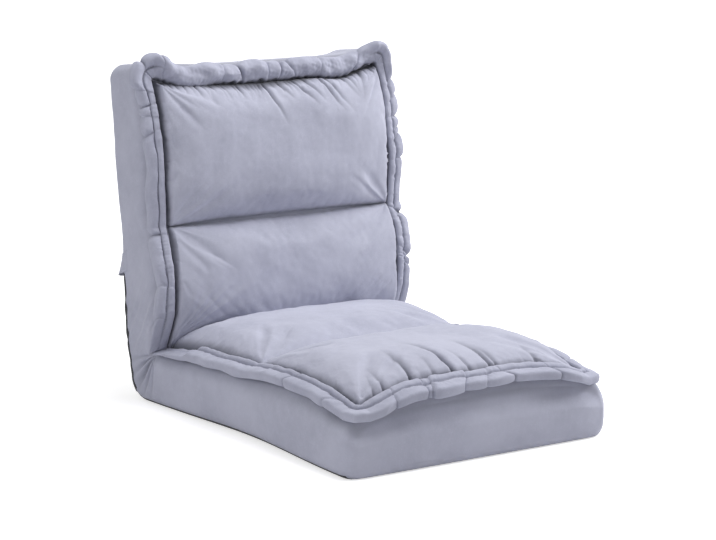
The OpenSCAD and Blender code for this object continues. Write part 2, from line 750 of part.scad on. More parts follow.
// The pawl: boss on its rivet, limb up to the knee, nose into a gap, tail over the spring
module pawl_dropped() {
  to_knee = knee - pawl_pivot;
  limb_dir = atan2(to_knee[1], to_knee[0]);
  half_limb = limb_w / 2;
  tip_w = 0.055 * limb_w;
  base_w = 0.22 * limb_w;
  function nose(r, w) = [r * cos(pawl_dir) - w * sin(pawl_dir), r * sin(pawl_dir) + w * cos(pawl_dir)];
  polygon([
    pawl_pivot + polar(half_limb, limb_dir - 90), nose(knee_r - half_limb, base_w),
    nose(nose_tip_r, tip_w), nose(nose_tip_r, -tip_w), nose(knee_r - half_limb, -base_w),
    nose(knee_r + half_limb, -base_w), pawl_pivot + polar(half_limb, limb_dir + 90)
  ]);
}
module pawl_tail() {
  translate(pawl_pivot) rotate(tail_dir) translate([0, -limb_w / 2]) square([tail_len, limb_w]);
}
module pawl(x) {
  color("dimgray") at_axis() translate([x, 0, 0]) difference() {
    union() {
      across(pawl_t) translate(pawl_pivot) rotate(pawl_lift) translate(-pawl_pivot) pawl_dropped();
      across(pawl_t) translate(pawl_pivot) rotate(pawl_lift) translate(-pawl_pivot) pawl_tail();
      across(pawl_t) translate(pawl_pivot) circle(r = pawl_boss_r, $fn = round_fn);
    }
    across(pawl_t + over) translate(pawl_pivot) circle(r = rivet_r + run_gap, $fn = round_fn);
  }
}
module pawl_spring(x) {
  color("gainsboro") at_axis() translate([x, 0, 0]) across(leaf_w) translate(spring_pin) difference() {
    union() {
      circle(r = leaf_ring_r, $fn = round_fn);
      translate([0, leaf_ring_r - leaf_t]) square([leaf_len, leaf_t]);
    }
    circle(r = rivet_r + run_gap, $fn = round_fn);
  }
}

module seat_frame() {
  color("dimgray") on_seat() tube_frame(seat_len, seat_arm);
}
module seat_cross_bars() {
  color("gray") on_seat() cross_bars(seat_len, seat_arm, bar_r, tube_r + run_gap);
}
module seat_foam_lower() {
  color("khaki") seat_foam(-1);
}
module seat_foam_upper() {
  color("palegoldenrod") seat_foam(1);
}
module seat_cover() {
  color("lightsteelblue") on_seat() difference() {
    seat_block(0, 0);
    cover_hollow(seat_len, seat_low_r, seat_flare);
    face_box(-slab_t, seat_len + over, base_t + gap);
  }
}
module base_cover() {
  color("black") on_seat() intersection() {
    seat_block(0, 0);
    face_box(gap, seat_len + over, base_t);
  }
}
module seat_front_pad() {
  color("lavender") on_seat() outer_pillow(seat_form);
}
module seat_rear_pad() {
  color("thistle") on_seat() inner_pillow(seat_form);
}
module seat_rim() {
  color("lightslategray") on_seat() roll_edge(seat_form);
}
module hinge_cheeks_left() {
  hinge_cheeks(-rail_x);
}
module hinge_cheeks_right() {
  hinge_cheeks(rail_x);
}
module seat_spigots() {
  color("slategray") on_seat() for (x = [-rail_x, rail_x]) translate([x, 0, 0]) {
    spigot(seat_arm);
    across(gear_t) difference() {
      translate([tongue_in, -arm_h / 2]) square([seat_arm - collar / 2 - tongue_in, arm_h]);
      for (t = rivet_places) translate([t, 0]) circle(r = rivet_r + run_gap, $fn = round_fn);
    }
  }
}
module pivot_rivets() {
  color("gold") at_axis() for (x = [-rail_x, rail_x]) translate([x, 0, 0]) rivet(pivot_r);
}
module pawl_rivets() {
  color("gold") at_axis() for (x = [-rail_x, rail_x])
    translate([x, pawl_pivot[0], pawl_pivot[1]]) rivet(rivet_r);
}
module spring_pins() {
  color("gold") at_axis() for (x = [-rail_x, rail_x])
    translate([x, spring_pin[0], spring_pin[1]]) rivet(rivet_r);
}
module spigot_rivets() {
  color("gold") at_axis() for (x = [-rail_x, rail_x], t = rivet_places) translate([x, -t, 0]) rivet(rivet_r);
}
module seat_tube_rivets() {
  color("gold") on_seat() plug_pins(seat_arm, tube_rivet_r, tube_d - 2 * gap);
}
module crease_gusset() {
  color("lightsteelblue") at_axis() crease_solid();
}
module knuckle_wrap() {
  color("black") at_axis() across(2 * gusset_side) {
    intersection() {
      difference() {
        circle(r = wrap_out_r, $fn = 2 * round_fn);
        circle(r = wrap_in_r, $fn = 2 * round_fn);
      }
      polygon(concat([[0, 0]], [for (s = [0 : wrap_n]) polar(slab_t, mix(-89, -lean, s / wrap_n))]));
    }
    rotate(upright) translate([-gap, -wrap_out_r]) square([heel, wrap_out_r - wrap_in_r]);
  }
}
module back_frame() {
  color("dimgray") on_back() tube_frame(back_len, back_arm);
}
module back_cross_bars() {
  color("gray") on_back() cross_bars(back_len, back_arm, bar_r, tube_r + run_gap);
}
module back_foam_rear() {
  color("khaki") back_foam(-1);
}
module back_foam_front() {
  color("palegoldenrod") back_foam(1);
}
module back_cover() {
  color("lightsteelblue") on_back() difference() {
    back_block(0, 0);
    cover_hollow(back_len, back_low_r, 0);
    face_box(-slab_t, black_len + gap, base_t + gap);
  }
}
module back_lower_panel() {
  color("black") on_back() intersection() {
    back_block(0, 0);
    face_box(heel, black_len, base_t);
  }
}
module rear_flap() {
  flap_z = -half_t - gap;
  flap_x = half_w - back_low_r;
  color("lightslategray") on_back() across(2 * flap_x) polygon([
    [black_len + flap_len, flap_z], [black_len + flap_len, flap_z - fabric_t / 2],
    [black_len - fabric_t, flap_z - flap_kick - fabric_t], [black_len - fabric_t, flap_z - flap_kick]
  ]);
}
module closure_tape() {
  tape_x = half_w - tape_in;
  color("dimgray") on_back() translate([-tape_x, black_len + gap, -half_t - tape_t - gap / 3])
    cube([2 * tape_x, tape_w, tape_t]);
}
module lumbar_pad() {
  color("thistle") on_back() inner_pillow(back_form);
}
module head_pad() {
  color("lavender") on_back() outer_pillow(back_form);
}
module back_rim() {
  color("lightslategray") on_back() roll_edge(back_form);
}
module ratchet_arm_left() {
  ratchet_arm(-rail_x);
}
module ratchet_arm_right() {
  ratchet_arm(rail_x);
}
module back_tube_rivets() {
  color("gold") on_back() plug_pins(back_arm, tube_rivet_r, tube_d - 2 * gap);
}
module pawl_left() {
  pawl(-rail_x);
}
module pawl_right() {
  pawl(rail_x);
}
module pawl_spring_left() {
  pawl_spring(-rail_x);
}
module pawl_spring_right() {
  pawl_spring(rail_x);
}

seat_frame();
seat_cross_bars();
seat_foam_lower();
seat_foam_upper();
seat_cover();
base_cover();
seat_front_pad();
seat_rear_pad();
seat_rim();
hinge_cheeks_left();
hinge_cheeks_right();
seat_spigots();
pivot_rivets();
pawl_rivets();
spring_pins();
spigot_rivets();
seat_tube_rivets();
crease_gusset();
knuckle_wrap();
back_frame();
back_cross_bars();
back_foam_rear();
back_foam_front();
back_cover();
back_lower_panel();
rear_flap();
closure_tape();
lumbar_pad();
head_pad();
back_rim();
ratchet_arm_left();
ratchet_arm_right();
back_tube_rivets();
pawl_left();
pawl_right();
pawl_spring_left();
pawl_spring_right();
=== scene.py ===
"""Folding floor chair: its upholstery, materials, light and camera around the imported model."""

import json
import math
from types import SimpleNamespace as Form

import bmesh
import bpy
import numpy as np
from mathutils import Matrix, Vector


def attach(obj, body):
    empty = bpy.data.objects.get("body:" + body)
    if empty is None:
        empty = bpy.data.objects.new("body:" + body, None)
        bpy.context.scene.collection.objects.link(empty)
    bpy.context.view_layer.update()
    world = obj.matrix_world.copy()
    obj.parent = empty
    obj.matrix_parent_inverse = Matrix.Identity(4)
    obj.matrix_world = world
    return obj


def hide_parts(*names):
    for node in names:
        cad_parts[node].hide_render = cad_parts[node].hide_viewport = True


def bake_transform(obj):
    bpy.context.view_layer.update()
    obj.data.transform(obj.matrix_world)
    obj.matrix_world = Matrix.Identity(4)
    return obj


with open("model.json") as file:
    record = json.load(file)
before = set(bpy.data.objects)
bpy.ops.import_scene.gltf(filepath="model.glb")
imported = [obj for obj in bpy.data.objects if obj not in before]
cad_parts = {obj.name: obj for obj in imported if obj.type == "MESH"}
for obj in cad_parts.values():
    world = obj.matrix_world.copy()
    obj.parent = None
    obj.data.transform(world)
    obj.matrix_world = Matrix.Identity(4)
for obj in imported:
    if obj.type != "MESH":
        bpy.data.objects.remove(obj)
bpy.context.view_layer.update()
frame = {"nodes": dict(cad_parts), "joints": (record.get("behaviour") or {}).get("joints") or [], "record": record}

MM = 0.001

# The slabs, measured from the hinge axis
HINGE = Vector(next(j for j in frame["joints"] if j["name"] == "back_recline")["pos_m"])
UPRIGHT = math.radians(83.2)
SPLIT = (math.pi - UPRIGHT) / 2
HALF_W = 275 * MM
HALF_T = 47.5 * MM
TOP_EDGE_R = 26 * MM
END_EDGE_R = 12 * MM
CORNER_R = 20 * MM

# The roll edge and the pillows
RIM_W = 38 * MM
FOOT_GAP = 0.3 * MM
CREASE_H = 72 * MM
CREASE_RISE = 12 * MM
CREASE_EASE = 45 * MM


def slab_form(sizes_mm, **other):
    """A slab's form: its sizes, written in mm, and what has no unit."""
    form = Form(**{name: size * MM for name, size in sizes_mm.items()}, **other)
    form.seam_x = HALF_W + form.over - RIM_W
    form.seam_t = form.length + form.corner_over - RIM_W
    return form


# Heights are over the slab, lengths are from the hinge axis, and pairs are for the left and the right end
SEAT = slab_form(
    dict(
        length=715, channel=365, low_r=20, crown=81, over=5, corner_over=3, rise_crease=16, rise_inner=22,
        rise_channel=24, rise_outer=32, rise_corner=9, rise_end=38, end_sag=3, end_dip=0, channel_h=46,
        tuck=3, seam_h=15, overhang=0, rim_t=22, thin_until=150, end_out=12, right_out=0, crease_half=1.5,
        flare=15, waist=6, bulge=0, face_sag=-3, face_in=15, left_ear_up=0, right_ear_up=0,
    ),
    dome=5, side_droop=8, end_droop=8, waist_share=0.06, ear_shares=(0, 0), ear_in_shares=(0, 0),
    plump_end=0, skin_seed=71,
)
BACK = slab_form(
    dict(
        length=600, channel=290, low_r=16, crown=82, over=15, corner_over=5, rise_crease=42, rise_inner=50,
        rise_channel=25, rise_outer=44, rise_corner=22, rise_end=22, end_sag=13, end_dip=16, channel_h=34,
        tuck=9, seam_h=23, overhang=6, rim_t=25, thin_until=52, end_out=0, right_out=8, crease_half=2.7,
        flare=0, waist=0, bulge=12, face_sag=11, face_in=0, left_ear_up=20, right_ear_up=22,
    ),
    dome=5.5, side_droop=4, end_droop=0, waist_share=0.13, ear_shares=(0.28, 0.10),
    ear_in_shares=(-0.42, 0.25), plump_end=1, skin_seed=81,
)
BLACK_LEN = 193 * MM
FLAP_LEN = 44 * MM
FLAP_KICK = 19 * MM

# Pinches of the roll edges: share of the way along a side or end, and depth
SEAT.pinch_shares = dict(
    left=[(0.725, 1.0), (0.93, 0.4)],
    end=[(0.115, 0.6), (0.25, 0.9), (0.28, 0.8), (0.436, 1.0), (0.535, 0.6), (0.617, 0.9), (0.835, 1.0)],
    right=[(0.08, 0.7), (0.25, 0.5), (0.37, 0.9), (0.62, 0.7), (0.85, 0.6)],
)
BACK.pinch_shares = dict(
    left=[(0.06, 0.5), (0.19, 0.35), (0.44, 1.0), (0.815, 0.7), (0.87, 0.4), (0.91, 0.9), (0.96, 0.5)],
    end=[(0.03, 0.6), (0.30, 0.35), (0.385, 1.0), (0.50, 0.5), (0.56, 1.0), (0.615, 0.6), (0.74, 0.3),
         (0.905, 0.6)],
    right=[(0.08, 0.6), (0.136, 0.7), (0.20, 0.8), (0.257, 0.6), (0.29, 0.8), (0.36, 0.5), (0.557, 1.0),
           (0.59, 0.7), (0.764, 0.7), (0.793, 0.6), (0.82, 0.7)],
)

# Directions across, along and out from the middle plane of each slab
RUN, RISE = math.cos(UPRIGHT), math.sin(UPRIGHT)
SEAT.axes = np.array([(1, 0, 0), (0, -1, 0), (0, 0, 1)])
BACK.axes = np.array([(1, 0, 0), (0, RUN, RISE), (0, -RISE, RUN)])


# Small helpers

def mix(a, b, s):
    return a + (b - a) * s


def smooth(a, b, value):
    s = np.clip((value - a) / (b - a), 0, 1)
    return s * s * (3 - 2 * s)


def waves(points, wavelength, seed):
    """Smooth noise of about -1 to 1, the sum of seeded plane waves."""
    rng = np.random.default_rng(seed)
    count = 48
    directions = rng.normal(size=(count, 3))
    directions /= np.linalg.norm(directions, axis=1)[:, None]
    lengths = wavelength * rng.uniform(0.7, 1.6, count)
    phases = rng.uniform(0, 2 * math.pi, count)
    total = np.zeros(points.shape[:-1])
    for direction, length, phase in zip(directions, lengths, phases):
        total += np.sin(2 * math.pi * (points @ direction) / length + phase)
    return total / math.sqrt(count / 2)


def uneven(points, seed, rows_mm):
    """The sum of waves of several heights and wavelengths, in mm, with a seed each."""
    total = 0
    for k, (height, length) in enumerate(rows_mm):
        total = total + height * MM * waves(points, length * MM, seed + k)
    return total


def shares(count, low, high, crowd=0.5):
    """count + 1 numbers from low to high, crowded towards both ends."""
    even = np.linspace(0, 1, count + 1)
    ends = (1 - np.cos(math.pi * even)) / 2
    return low + (high - low) * mix(even, ends, crowd)


def in_frame(form, points):
    """Places across, along and out from a slab's middle plane at the hinge axis, in the part's frame."""
    return points @ form.axes + (0, HINGE.y, HINGE.z)


def grid_faces(rows, columns, start=0, close=False):
    """Quads of a grid whose points run along each row, closed across its columns if asked."""
    last = columns if close else columns - 1
    faces = []
    for r in range(rows - 1):
        for c in range(last):
            d = (c + 1) % columns
            a, b = start + r * columns, start + (r + 1) * columns
            faces.append((a + c, a + d, b + d, b + c))
    return faces


def add_object(name, data):
    made = bpy.data.objects.new(name, data)
    bpy.context.scene.collection.objects.link(made)
    return made


def aim(made, direction):
    """Turns a camera or light to look along a direction."""
    made.rotation_mode = "QUATERNION"
    made.rotation_quaternion = direction.to_track_quat("-Z", "Y")


def make_piece(name, points, faces, material, dark_tone_and_painted_shade=None):
    """A smooth mesh object with outward faces, with its places at rest and a mask of painted shade for its
    crevices, read by the material.
    """
    mesh = bpy.data.meshes.new(name)
    mesh.from_pydata(points.reshape(-1, 3).tolist(), [], faces)
    work = bmesh.new()
    work.from_mesh(mesh)
    bmesh.ops.recalc_face_normals(work, faces=work.faces)
    work.to_mesh(mesh)
    work.free()
    mesh.polygons.foreach_set("use_smooth", [True] * len(mesh.polygons))
    rest = mesh.attributes.new("rest_place", "FLOAT_VECTOR", "POINT")
    rest.data.foreach_set("vector", points.reshape(-1).astype(np.float32))
    # Painted shade: a per-point mask from 0 to 1 that darkens the colour in crevices, seams, folds and under the
    # roll edges
    if dark_tone_and_painted_shade is not None:
        shade = np.zeros(len(mesh.vertices), np.float32)
        shade[:dark_tone_and_painted_shade.size] = np.clip(dark_tone_and_painted_shade, 0, 1).reshape(-1)
        mesh.attributes.new("dark_tone_and_painted_shade", "FLOAT", "POINT").data.foreach_set("value", shade)
    piece = add_object(name, mesh)
    mesh.materials.append(material)
    return piece


def bends(piece):
    """Bakes a piece's transform into its mesh; the piece is fabric that crosses the hinge."""
    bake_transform(piece)
    return piece


# Materials

def new_material(name):
    material = bpy.data.materials.new(name)
    material.use_nodes = True
    tree = material.node_tree
    return material, tree, tree.nodes["Principled BSDF"]


def set_sockets(node, values):
    for name, value in values.items():
        node.inputs[name].default_value = value


def attribute_node(tree, name):
    node = tree.nodes.new("ShaderNodeAttribute")
    node.attribute_name = name
    return node.outputs


def math_node(tree, operation, *values):
    node = tree.nodes.new("ShaderNodeMath")
    node.operation = operation
    for socket, value in zip(node.inputs, values):
        tree.links.new(value, socket)
    return node.outputs[0]


def noise_node(tree, place, scale, detail=2.0, roughness=0.5):
    noise = tree.nodes.new("ShaderNodeTexNoise")
    set_sockets(noise, {"Scale": scale, "Detail": detail, "Roughness": roughness})
    tree.links.new(place, noise.inputs["Vector"])
    return noise.outputs["Fac"]


def mix_colour(tree, share, first, second):
    node = tree.nodes.new("ShaderNodeMix")
    node.data_type = "RGBA"
    tree.links.new(share, node.inputs["Factor"])
    for socket, value in ((node.inputs[6], first), (node.inputs[7], second)):
        if isinstance(value, tuple):
            socket.default_value = (*value, 1)
        else:
            tree.links.new(value, socket)
    return node.outputs[2]


def ranged(tree, value, low, high, new_low, new_high):
    node = tree.nodes.new("ShaderNodeMapRange")
    set_sockets(node, {"From Min": low, "From Max": high, "To Min": new_low, "To Max": new_high})
    tree.links.new(value, node.inputs[0])
    return node.outputs[0]


def bump_node(tree, height, distance, strength, below=None):
    bump = tree.nodes.new("ShaderNodeBump")
    set_sockets(bump, {"Distance": distance, "Strength": strength})
    tree.links.new(height, bump.inputs["Height"])
    if below is not None:
        tree.links.new(below, bump.inputs["Normal"])
    return bump.outputs["Normal"]


def suede(name, pale, dark_tone_and_painted_shade, streak):
    """Brushed microfibre: cloudy nap, short fibres, a soft sheen, and painted shade that darkens the colour in
    seams, folds and grooves, by a mesh attribute.
    """
    material, tree, shader = new_material(name)
    place = attribute_node(tree, "rest_place")["Vector"]
    cloud = ranged(tree, noise_node(tree, place, 9, 3), 0.35, 0.65, 0, 1)
    nap = ranged(tree, noise_node(tree, place, 70, 4, 0.65), 0.3, 0.7, 0, 1)
    grain = ranged(tree, noise_node(tree, place, 330, 2, 0.6), 0.3, 0.7, 0.12, 0.62)
    base = mix_colour(tree, cloud, dark_tone_and_painted_shade, pale)
    brushed = mix_colour(tree, grain, base, mix_colour(tree, nap, base, streak))
    # Painted shade: the colour is darkened where the mesh's painted-shade mask is high
    painted_shade_mask = attribute_node(tree, "dark_tone_and_painted_shade")["Fac"]
    painted_shade_colour = tuple(CREVICE_SHADE * value for value in dark_tone_and_painted_shade)
    tree.links.new(mix_colour(tree, painted_shade_mask, brushed, painted_shade_colour), shader.inputs["Base Color"])
    tree.links.new(ranged(tree, nap, 0, 1, 0.86, 0.98), shader.inputs["Roughness"])
    set_sockets(shader, {"Specular IOR Level": 0.25, "Sheen Weight": 0.28, "Sheen Roughness": 0.45,
                         "Sheen Tint": (0.93, 0.94, 1.0, 1)})
    pile = bump_node(tree, noise_node(tree, place, 260, 3, 0.6), 0.5 * MM, 0.35)
    fibres = bump_node(tree, noise_node(tree, place, 1500, 2, 0.6), 0.25 * MM, 0.5, pile)
    tree.links.new(fibres, shader.inputs["Normal"])
    return material


def woven_black(name):
    """Plain woven black lining."""
    material, tree, shader = new_material(name)
    place = attribute_node(tree, "rest_place")["Vector"]
    threads = []
    for direction in ("X", "Y"):
        wave = tree.nodes.new("ShaderNodeTexWave")
        wave.bands_direction = direction
        set_sockets(wave, {"Scale": 320, "Distortion": 0.6})
        tree.links.new(place, wave.inputs["Vector"])
        threads.append(wave.outputs["Fac"])
    weave = math_node(tree, "MULTIPLY", *threads)
    cloud = noise_node(tree, place, 30, 3)
    colour = mix_colour(tree, cloud, (0.012, 0.012, 0.015), (0.035, 0.035, 0.042))
    tree.links.new(colour, shader.inputs["Base Color"])
    tree.links.new(ranged(tree, cloud, 0, 1, 0.7, 0.9), shader.inputs["Roughness"])
    tree.links.new(bump_node(tree, weave, 0.4 * MM, 0.6), shader.inputs["Normal"])
    return material


def plain_detail(name, colour, other, scale, roughness, metallic=0.0, bump=0.1):
    """A colour with mottling, for thread, tape, paint and plated steel."""
    material, tree, shader = new_material(name)
    place = tree.nodes.new("ShaderNodeTexCoord").outputs["Object"]
    mottle = noise_node(tree, place, scale, 4, 0.6)
    tree.links.new(mix_colour(tree, mottle, colour, other), shader.inputs["Base Color"])
    tree.links.new(ranged(tree, mottle, 0, 1, *roughness), shader.inputs["Roughness"])
    set_sockets(shader, {"Metallic": metallic})
    tree.links.new(bump_node(tree, mottle, 0.2 * MM, bump), shader.inputs["Normal"])
    return material


# How dark the painted shade makes the colour, as a share of the fabric's darker tone
CREVICE_SHADE = 0.36
GREY = suede("grey_suede", (0.47, 0.48, 0.585), (0.41, 0.42, 0.52), (0.54, 0.55, 0.66))
# A darker copy of the same suede for the roll edges: painted shade for their rounded, creased form
PAINTED_SHADE_RIM_SUEDE = suede("grey_suede_rim", (0.435, 0.445, 0.55), (0.375, 0.385, 0.485), (0.505, 0.515, 0.625))
BLACK = woven_black("black_antislip_fabric")
THREAD = plain_detail("thread", (0.36, 0.37, 0.46), (0.44, 0.45, 0.55), 900, (0.6, 0.8))

# Finishes inside, by material slot: two colours, the mottling's scale, roughness, metallic share and bump
FINISHES = dict(
    closure_tape=((0.02, 0.02, 0.025), (0.05, 0.05, 0.06), 1200, (0.9, 1.0), 0.0, 0.8),
    black_painted_tube=((0.02, 0.02, 0.022), (0.03, 0.03, 0.033), 60, (0.3, 0.45)),
    zinc_plated_plate=((0.55, 0.56, 0.58), (0.66, 0.66, 0.65), 90, (0.25, 0.45), 1.0),
    zinc_plated_rivet=((0.60, 0.60, 0.62), (0.70, 0.70, 0.70), 150, (0.2, 0.35), 1.0),
    spring_steel=((0.38, 0.38, 0.40), (0.48, 0.47, 0.46), 120, (0.25, 0.4), 1.0),
)


# The forms that the pieces share

def crease_t(z):
    """Where the plane between the seat and the back is, at a height over the middle plane."""
    return z / math.tan(SPLIT)


FOOT_Z = HALF_T + FOOT_GAP
CREASE_T = crease_t(FOOT_Z)
PINCH_IN = 4 * MM
PINCH_IN_REACH = 60 * MM
DIP_SHARE = 0.74
DIP_REACH = 50 * MM
SHIFT_REACH = 90 * MM


def arch(a, middle, b, s):
    return mix(a, b, s) + (middle - (a + b) / 2) * np.sin(math.pi * s)


def bell(distance, reach):
    return np.exp(-((distance / reach) ** 2))


def side_rise(form, t):
    """How far the roll edge's foot is over the slab, along a side."""
    inner_start = CREASE_T + CREASE_EASE
    inner = arch(form.rise_crease, form.rise_inner, form.rise_channel,
                 np.clip((t - inner_start) / (form.channel - inner_start), 0, 1))
    inner = mix(CREASE_RISE, inner, smooth(CREASE_T, inner_start, t))
    outer = arch(form.rise_channel, form.rise_outer, form.rise_corner,
                 np.clip((t - form.channel) / (form.seam_t - form.channel), 0, 1))
    return np.where(t < form.channel, inner, outer)


def end_rise(form, x):
    return mix(form.rise_end, form.rise_corner, np.minimum(1, (np.abs(x) / form.seam_x) ** 4))


def end_t(form, x):
    """The seam line at the free end, which sags towards the middle."""
    dip = form.end_dip * bell(x - DIP_SHARE * form.seam_x, DIP_REACH)
    low = form.length - form.end_sag - RIM_W - dip
    return mix(low, form.seam_t, np.minimum(1, (np.abs(x) / form.seam_x) ** 3))


def edge_x(form, t):
    return form.seam_x - PINCH_IN * bell(t - form.channel, PINCH_IN_REACH)


def right_shift(form, x, t):
    """The right-hand edge stands out a little farther, most at the channel."""
    level = mix(0.5, 1.2, bell(t - form.channel, SHIFT_REACH))
    level = level * smooth(form.length, form.length - SHIFT_REACH, t)
    return form.right_out * level * np.clip(x / form.seam_x, 0, 1) ** 4


def lean(form, t, z):
    """Slants what is near the crease, so that it ends on the plane between the seat and the back."""
    share = (t - CREASE_T) / (form.channel - CREASE_T)
    return np.where(t < form.channel, mix(crease_t(z), form.channel, share), t)


# Pillows

SEAM_TURN = 10 * MM
SEAM_FOOT = 5 * MM
FOOT_SHARE = 0.985
OUTER_GRID, INNER_GRID = (170, 330), (130, 240)
CHANNEL_PUCKERS = (21 * MM, 20 * MM, 0.7 * MM, 3.2 * MM)
SIDE_PUCKERS = (24 * MM, 22 * MM, 1.2 * MM, 3.2 * MM)
CLOTH = dict(
    quality=6, mass=0.3, tension_stiffness=18, compression_stiffness=18, shear_stiffness=6,
    bending_stiffness=0.3, use_pressure=True, uniform_pressure_force=3, shrink_min=-0.006,
)
CLOTH_STEPS = 20
CLOTH_GRID = (60, 96)
MOST_SWELL = 7 * MM
CALM_REACH = 45 * MM
FOLD_DEPTH = 7 * MM
OVER_START, OVER_FULL = 1 * MM, 7 * MM
OVER_FADE, OVER_END = 8 * MM, 50 * MM
SEAM_CLEAR = 4 * MM
CHANNEL_SHADE = 3 * MM
SWELL_MM = [(1.8, 170), (0.5, 60)]
DENT_MM = [(0.1, 17)]
DRAG_CLEAR = 6 * MM
DRAG_START = 40 * MM


def pucker_marks(rng, low, high, spacing, length, depth, width):
    """Small random puckers along a seam: place, length, depth, slant and width of each."""
    marks = []
    place = low + spacing * rng.uniform(0.2, 1)
    while place < high:
        marks.append((place, length * rng.uniform(0.5, 1.5), depth * rng.uniform(0.4, 1.3),
                      rng.uniform(-0.35, 0.35), width * rng.uniform(0.7, 1.4)))
        place += spacing * rng.uniform(0.6, 1.5)
    return marks


def puckers(along, away, marks):
    """Valleys that run off a seam and fade, with a shoulder on each side."""
    total = np.zeros_like(along)
    for place, length, depth, slant, width in marks:
        share = np.clip(away / length, 0, 1)
        spread = width * (1 + 1.6 * share)
        offset = (along - place - slant * away) / spread
        fade = (1 - share) ** 1.2
        total += depth * fade * (0.4 * bell(offset, 2.6) - 1.2 * np.exp(-(np.abs(offset) ** 1.2)))
    return total


def grid_normals(points):
    normals = np.cross(np.gradient(points, axis=1), np.gradient(points, axis=0))
    return normals / np.maximum(np.linalg.norm(normals, axis=2), 1e-12)[..., None]


def pillow_grid(form, outer, rows, columns):
    """The crowned top of a pillow as a grid, with its distances from the seams."""
    u = shares(columns - 1, -1, 1)[None, :] * np.ones((rows, 1))
    v = shares(rows - 1, 0, 1)[:, None] * np.ones((1, columns))
    t = mix(form.channel, end_t(form, u * form.seam_x), v) if outer else mix(CREASE_T, form.channel, v)
    x = u * edge_x(form, t)
    side = side_rise(form, t) + form.seam_h
    near, far = (form.channel_h, end_rise(form, x) + form.seam_h) if outer else (CREASE_H, form.channel_h)
    base = mix(mix(near, far, v), side, np.abs(u) ** 4)
    dome = np.sqrt(np.maximum(0, 1 - np.abs(u) ** form.dome))
    dome = dome * np.sqrt(np.maximum(0, 1 - np.abs(2 * v - 1) ** 3))
    height = mix(base, form.crown, dome)
    from_side = edge_x(form, t) * (1 - np.abs(u))
    from_channel = np.abs(t - form.channel)
    from_end = (end_t(form, x) - t) if outer else np.full_like(t, form.length)
    turned = np.clip(np.minimum(from_side, from_end) / SEAM_TURN, 0, 1)
    height -= (form.seam_h + SEAM_FOOT) * (1 - np.sqrt(1 - (1 - turned) ** 2))
    tuck = np.clip(from_channel / SEAM_TURN, 0, 1)
    height -= form.tuck * (1 - np.sqrt(1 - (1 - tuck) ** 2)) * (1 - np.abs(u) ** 8)
    over = form.overhang * smooth(OVER_START, OVER_FULL, from_side) * smooth(OVER_END, OVER_FADE, from_side)
    over = over * np.where(x > 0, 1, 0.2)
    z = FOOT_Z + height
    points = np.stack([x + np.sign(x) * over + right_shift(form, x, t), lean(form, t, z), z], axis=-1)
    return points, from_side, from_channel, from_end


def swollen(points):
    """The grid after a cloth simulation with its border held, no point moved by more than a limit."""
    picks = [
        np.unique(np.linspace(0, count - 1, kept).round().astype(int))
        for count, kept in zip(points.shape[:2], CLOTH_GRID)
    ]
    coarse = points[np.ix_(*picks)]
    rows, columns = coarse.shape[:2]
    mesh = bpy.data.meshes.new("cloth")
    mesh.from_pydata(coarse.reshape(-1, 3).tolist(), [], grid_faces(rows, columns))
    piece = add_object("cloth", mesh)
    held = piece.vertex_groups.new(name="held")
    held.add(border(rows, columns), 1.0, "REPLACE")
    cloth = piece.modifiers.new("cloth", "CLOTH")
    for setting, value in CLOTH.items():
        setattr(cloth.settings, setting, value)
    cloth.settings.vertex_group_mass = held.name
    cloth.settings.effector_weights.gravity = 0
    cloth.collision_settings.use_collision = False
    for step in range(CLOTH_STEPS):
        bpy.context.scene.frame_set(step + 1)
    shaped = piece.evaluated_get(bpy.context.evaluated_depsgraph_get())
    places = np.empty(rows * columns * 3, np.float32)
    shaped.data.vertices.foreach_get("co", places)
    moved = places.reshape(coarse.shape) - coarse
    length = np.linalg.norm(moved, axis=2, keepdims=True)
    moved *= MOST_SWELL * np.tanh(length / MOST_SWELL) / np.maximum(length, 1e-9)
    bpy.data.objects.remove(piece)
    bpy.context.scene.frame_set(1)
    for axis, pick in enumerate(picks):
        moved = spread(moved, pick, points.shape[axis], axis)
    return points + moved


def spread(values, pick, count, axis):
    """Values at picked rows or columns, filled in between and smoothed a little."""
    values = np.moveaxis(values, axis, 0)
    low = np.clip(np.searchsorted(pick, np.arange(count), side="right") - 1, 0, len(pick) - 2)
    share = ((np.arange(count) - pick[low]) / (pick[low + 1] - pick[low]))[:, None, None]
    full = mix(values[low], values[low + 1], share)
    full[1:-1] = (full[:-2] + 2 * full[1:-1] + full[2:]) / 4
    return np.moveaxis(full, 0, axis)


def drags(along, away, marks):
    """Ridges that fan out from a corner: turn in degrees, its spread, height and length of each."""
    distance = np.hypot(along, away)
    turn = np.degrees(np.arctan2(away, along))
    total = np.zeros_like(distance)
    for middle, spread_turn, height, length in marks:
        total += height * bell(turn - middle, spread_turn) * smooth(length, 0.3 * length, distance)
    return total * smooth(DRAG_CLEAR, DRAG_START, distance)


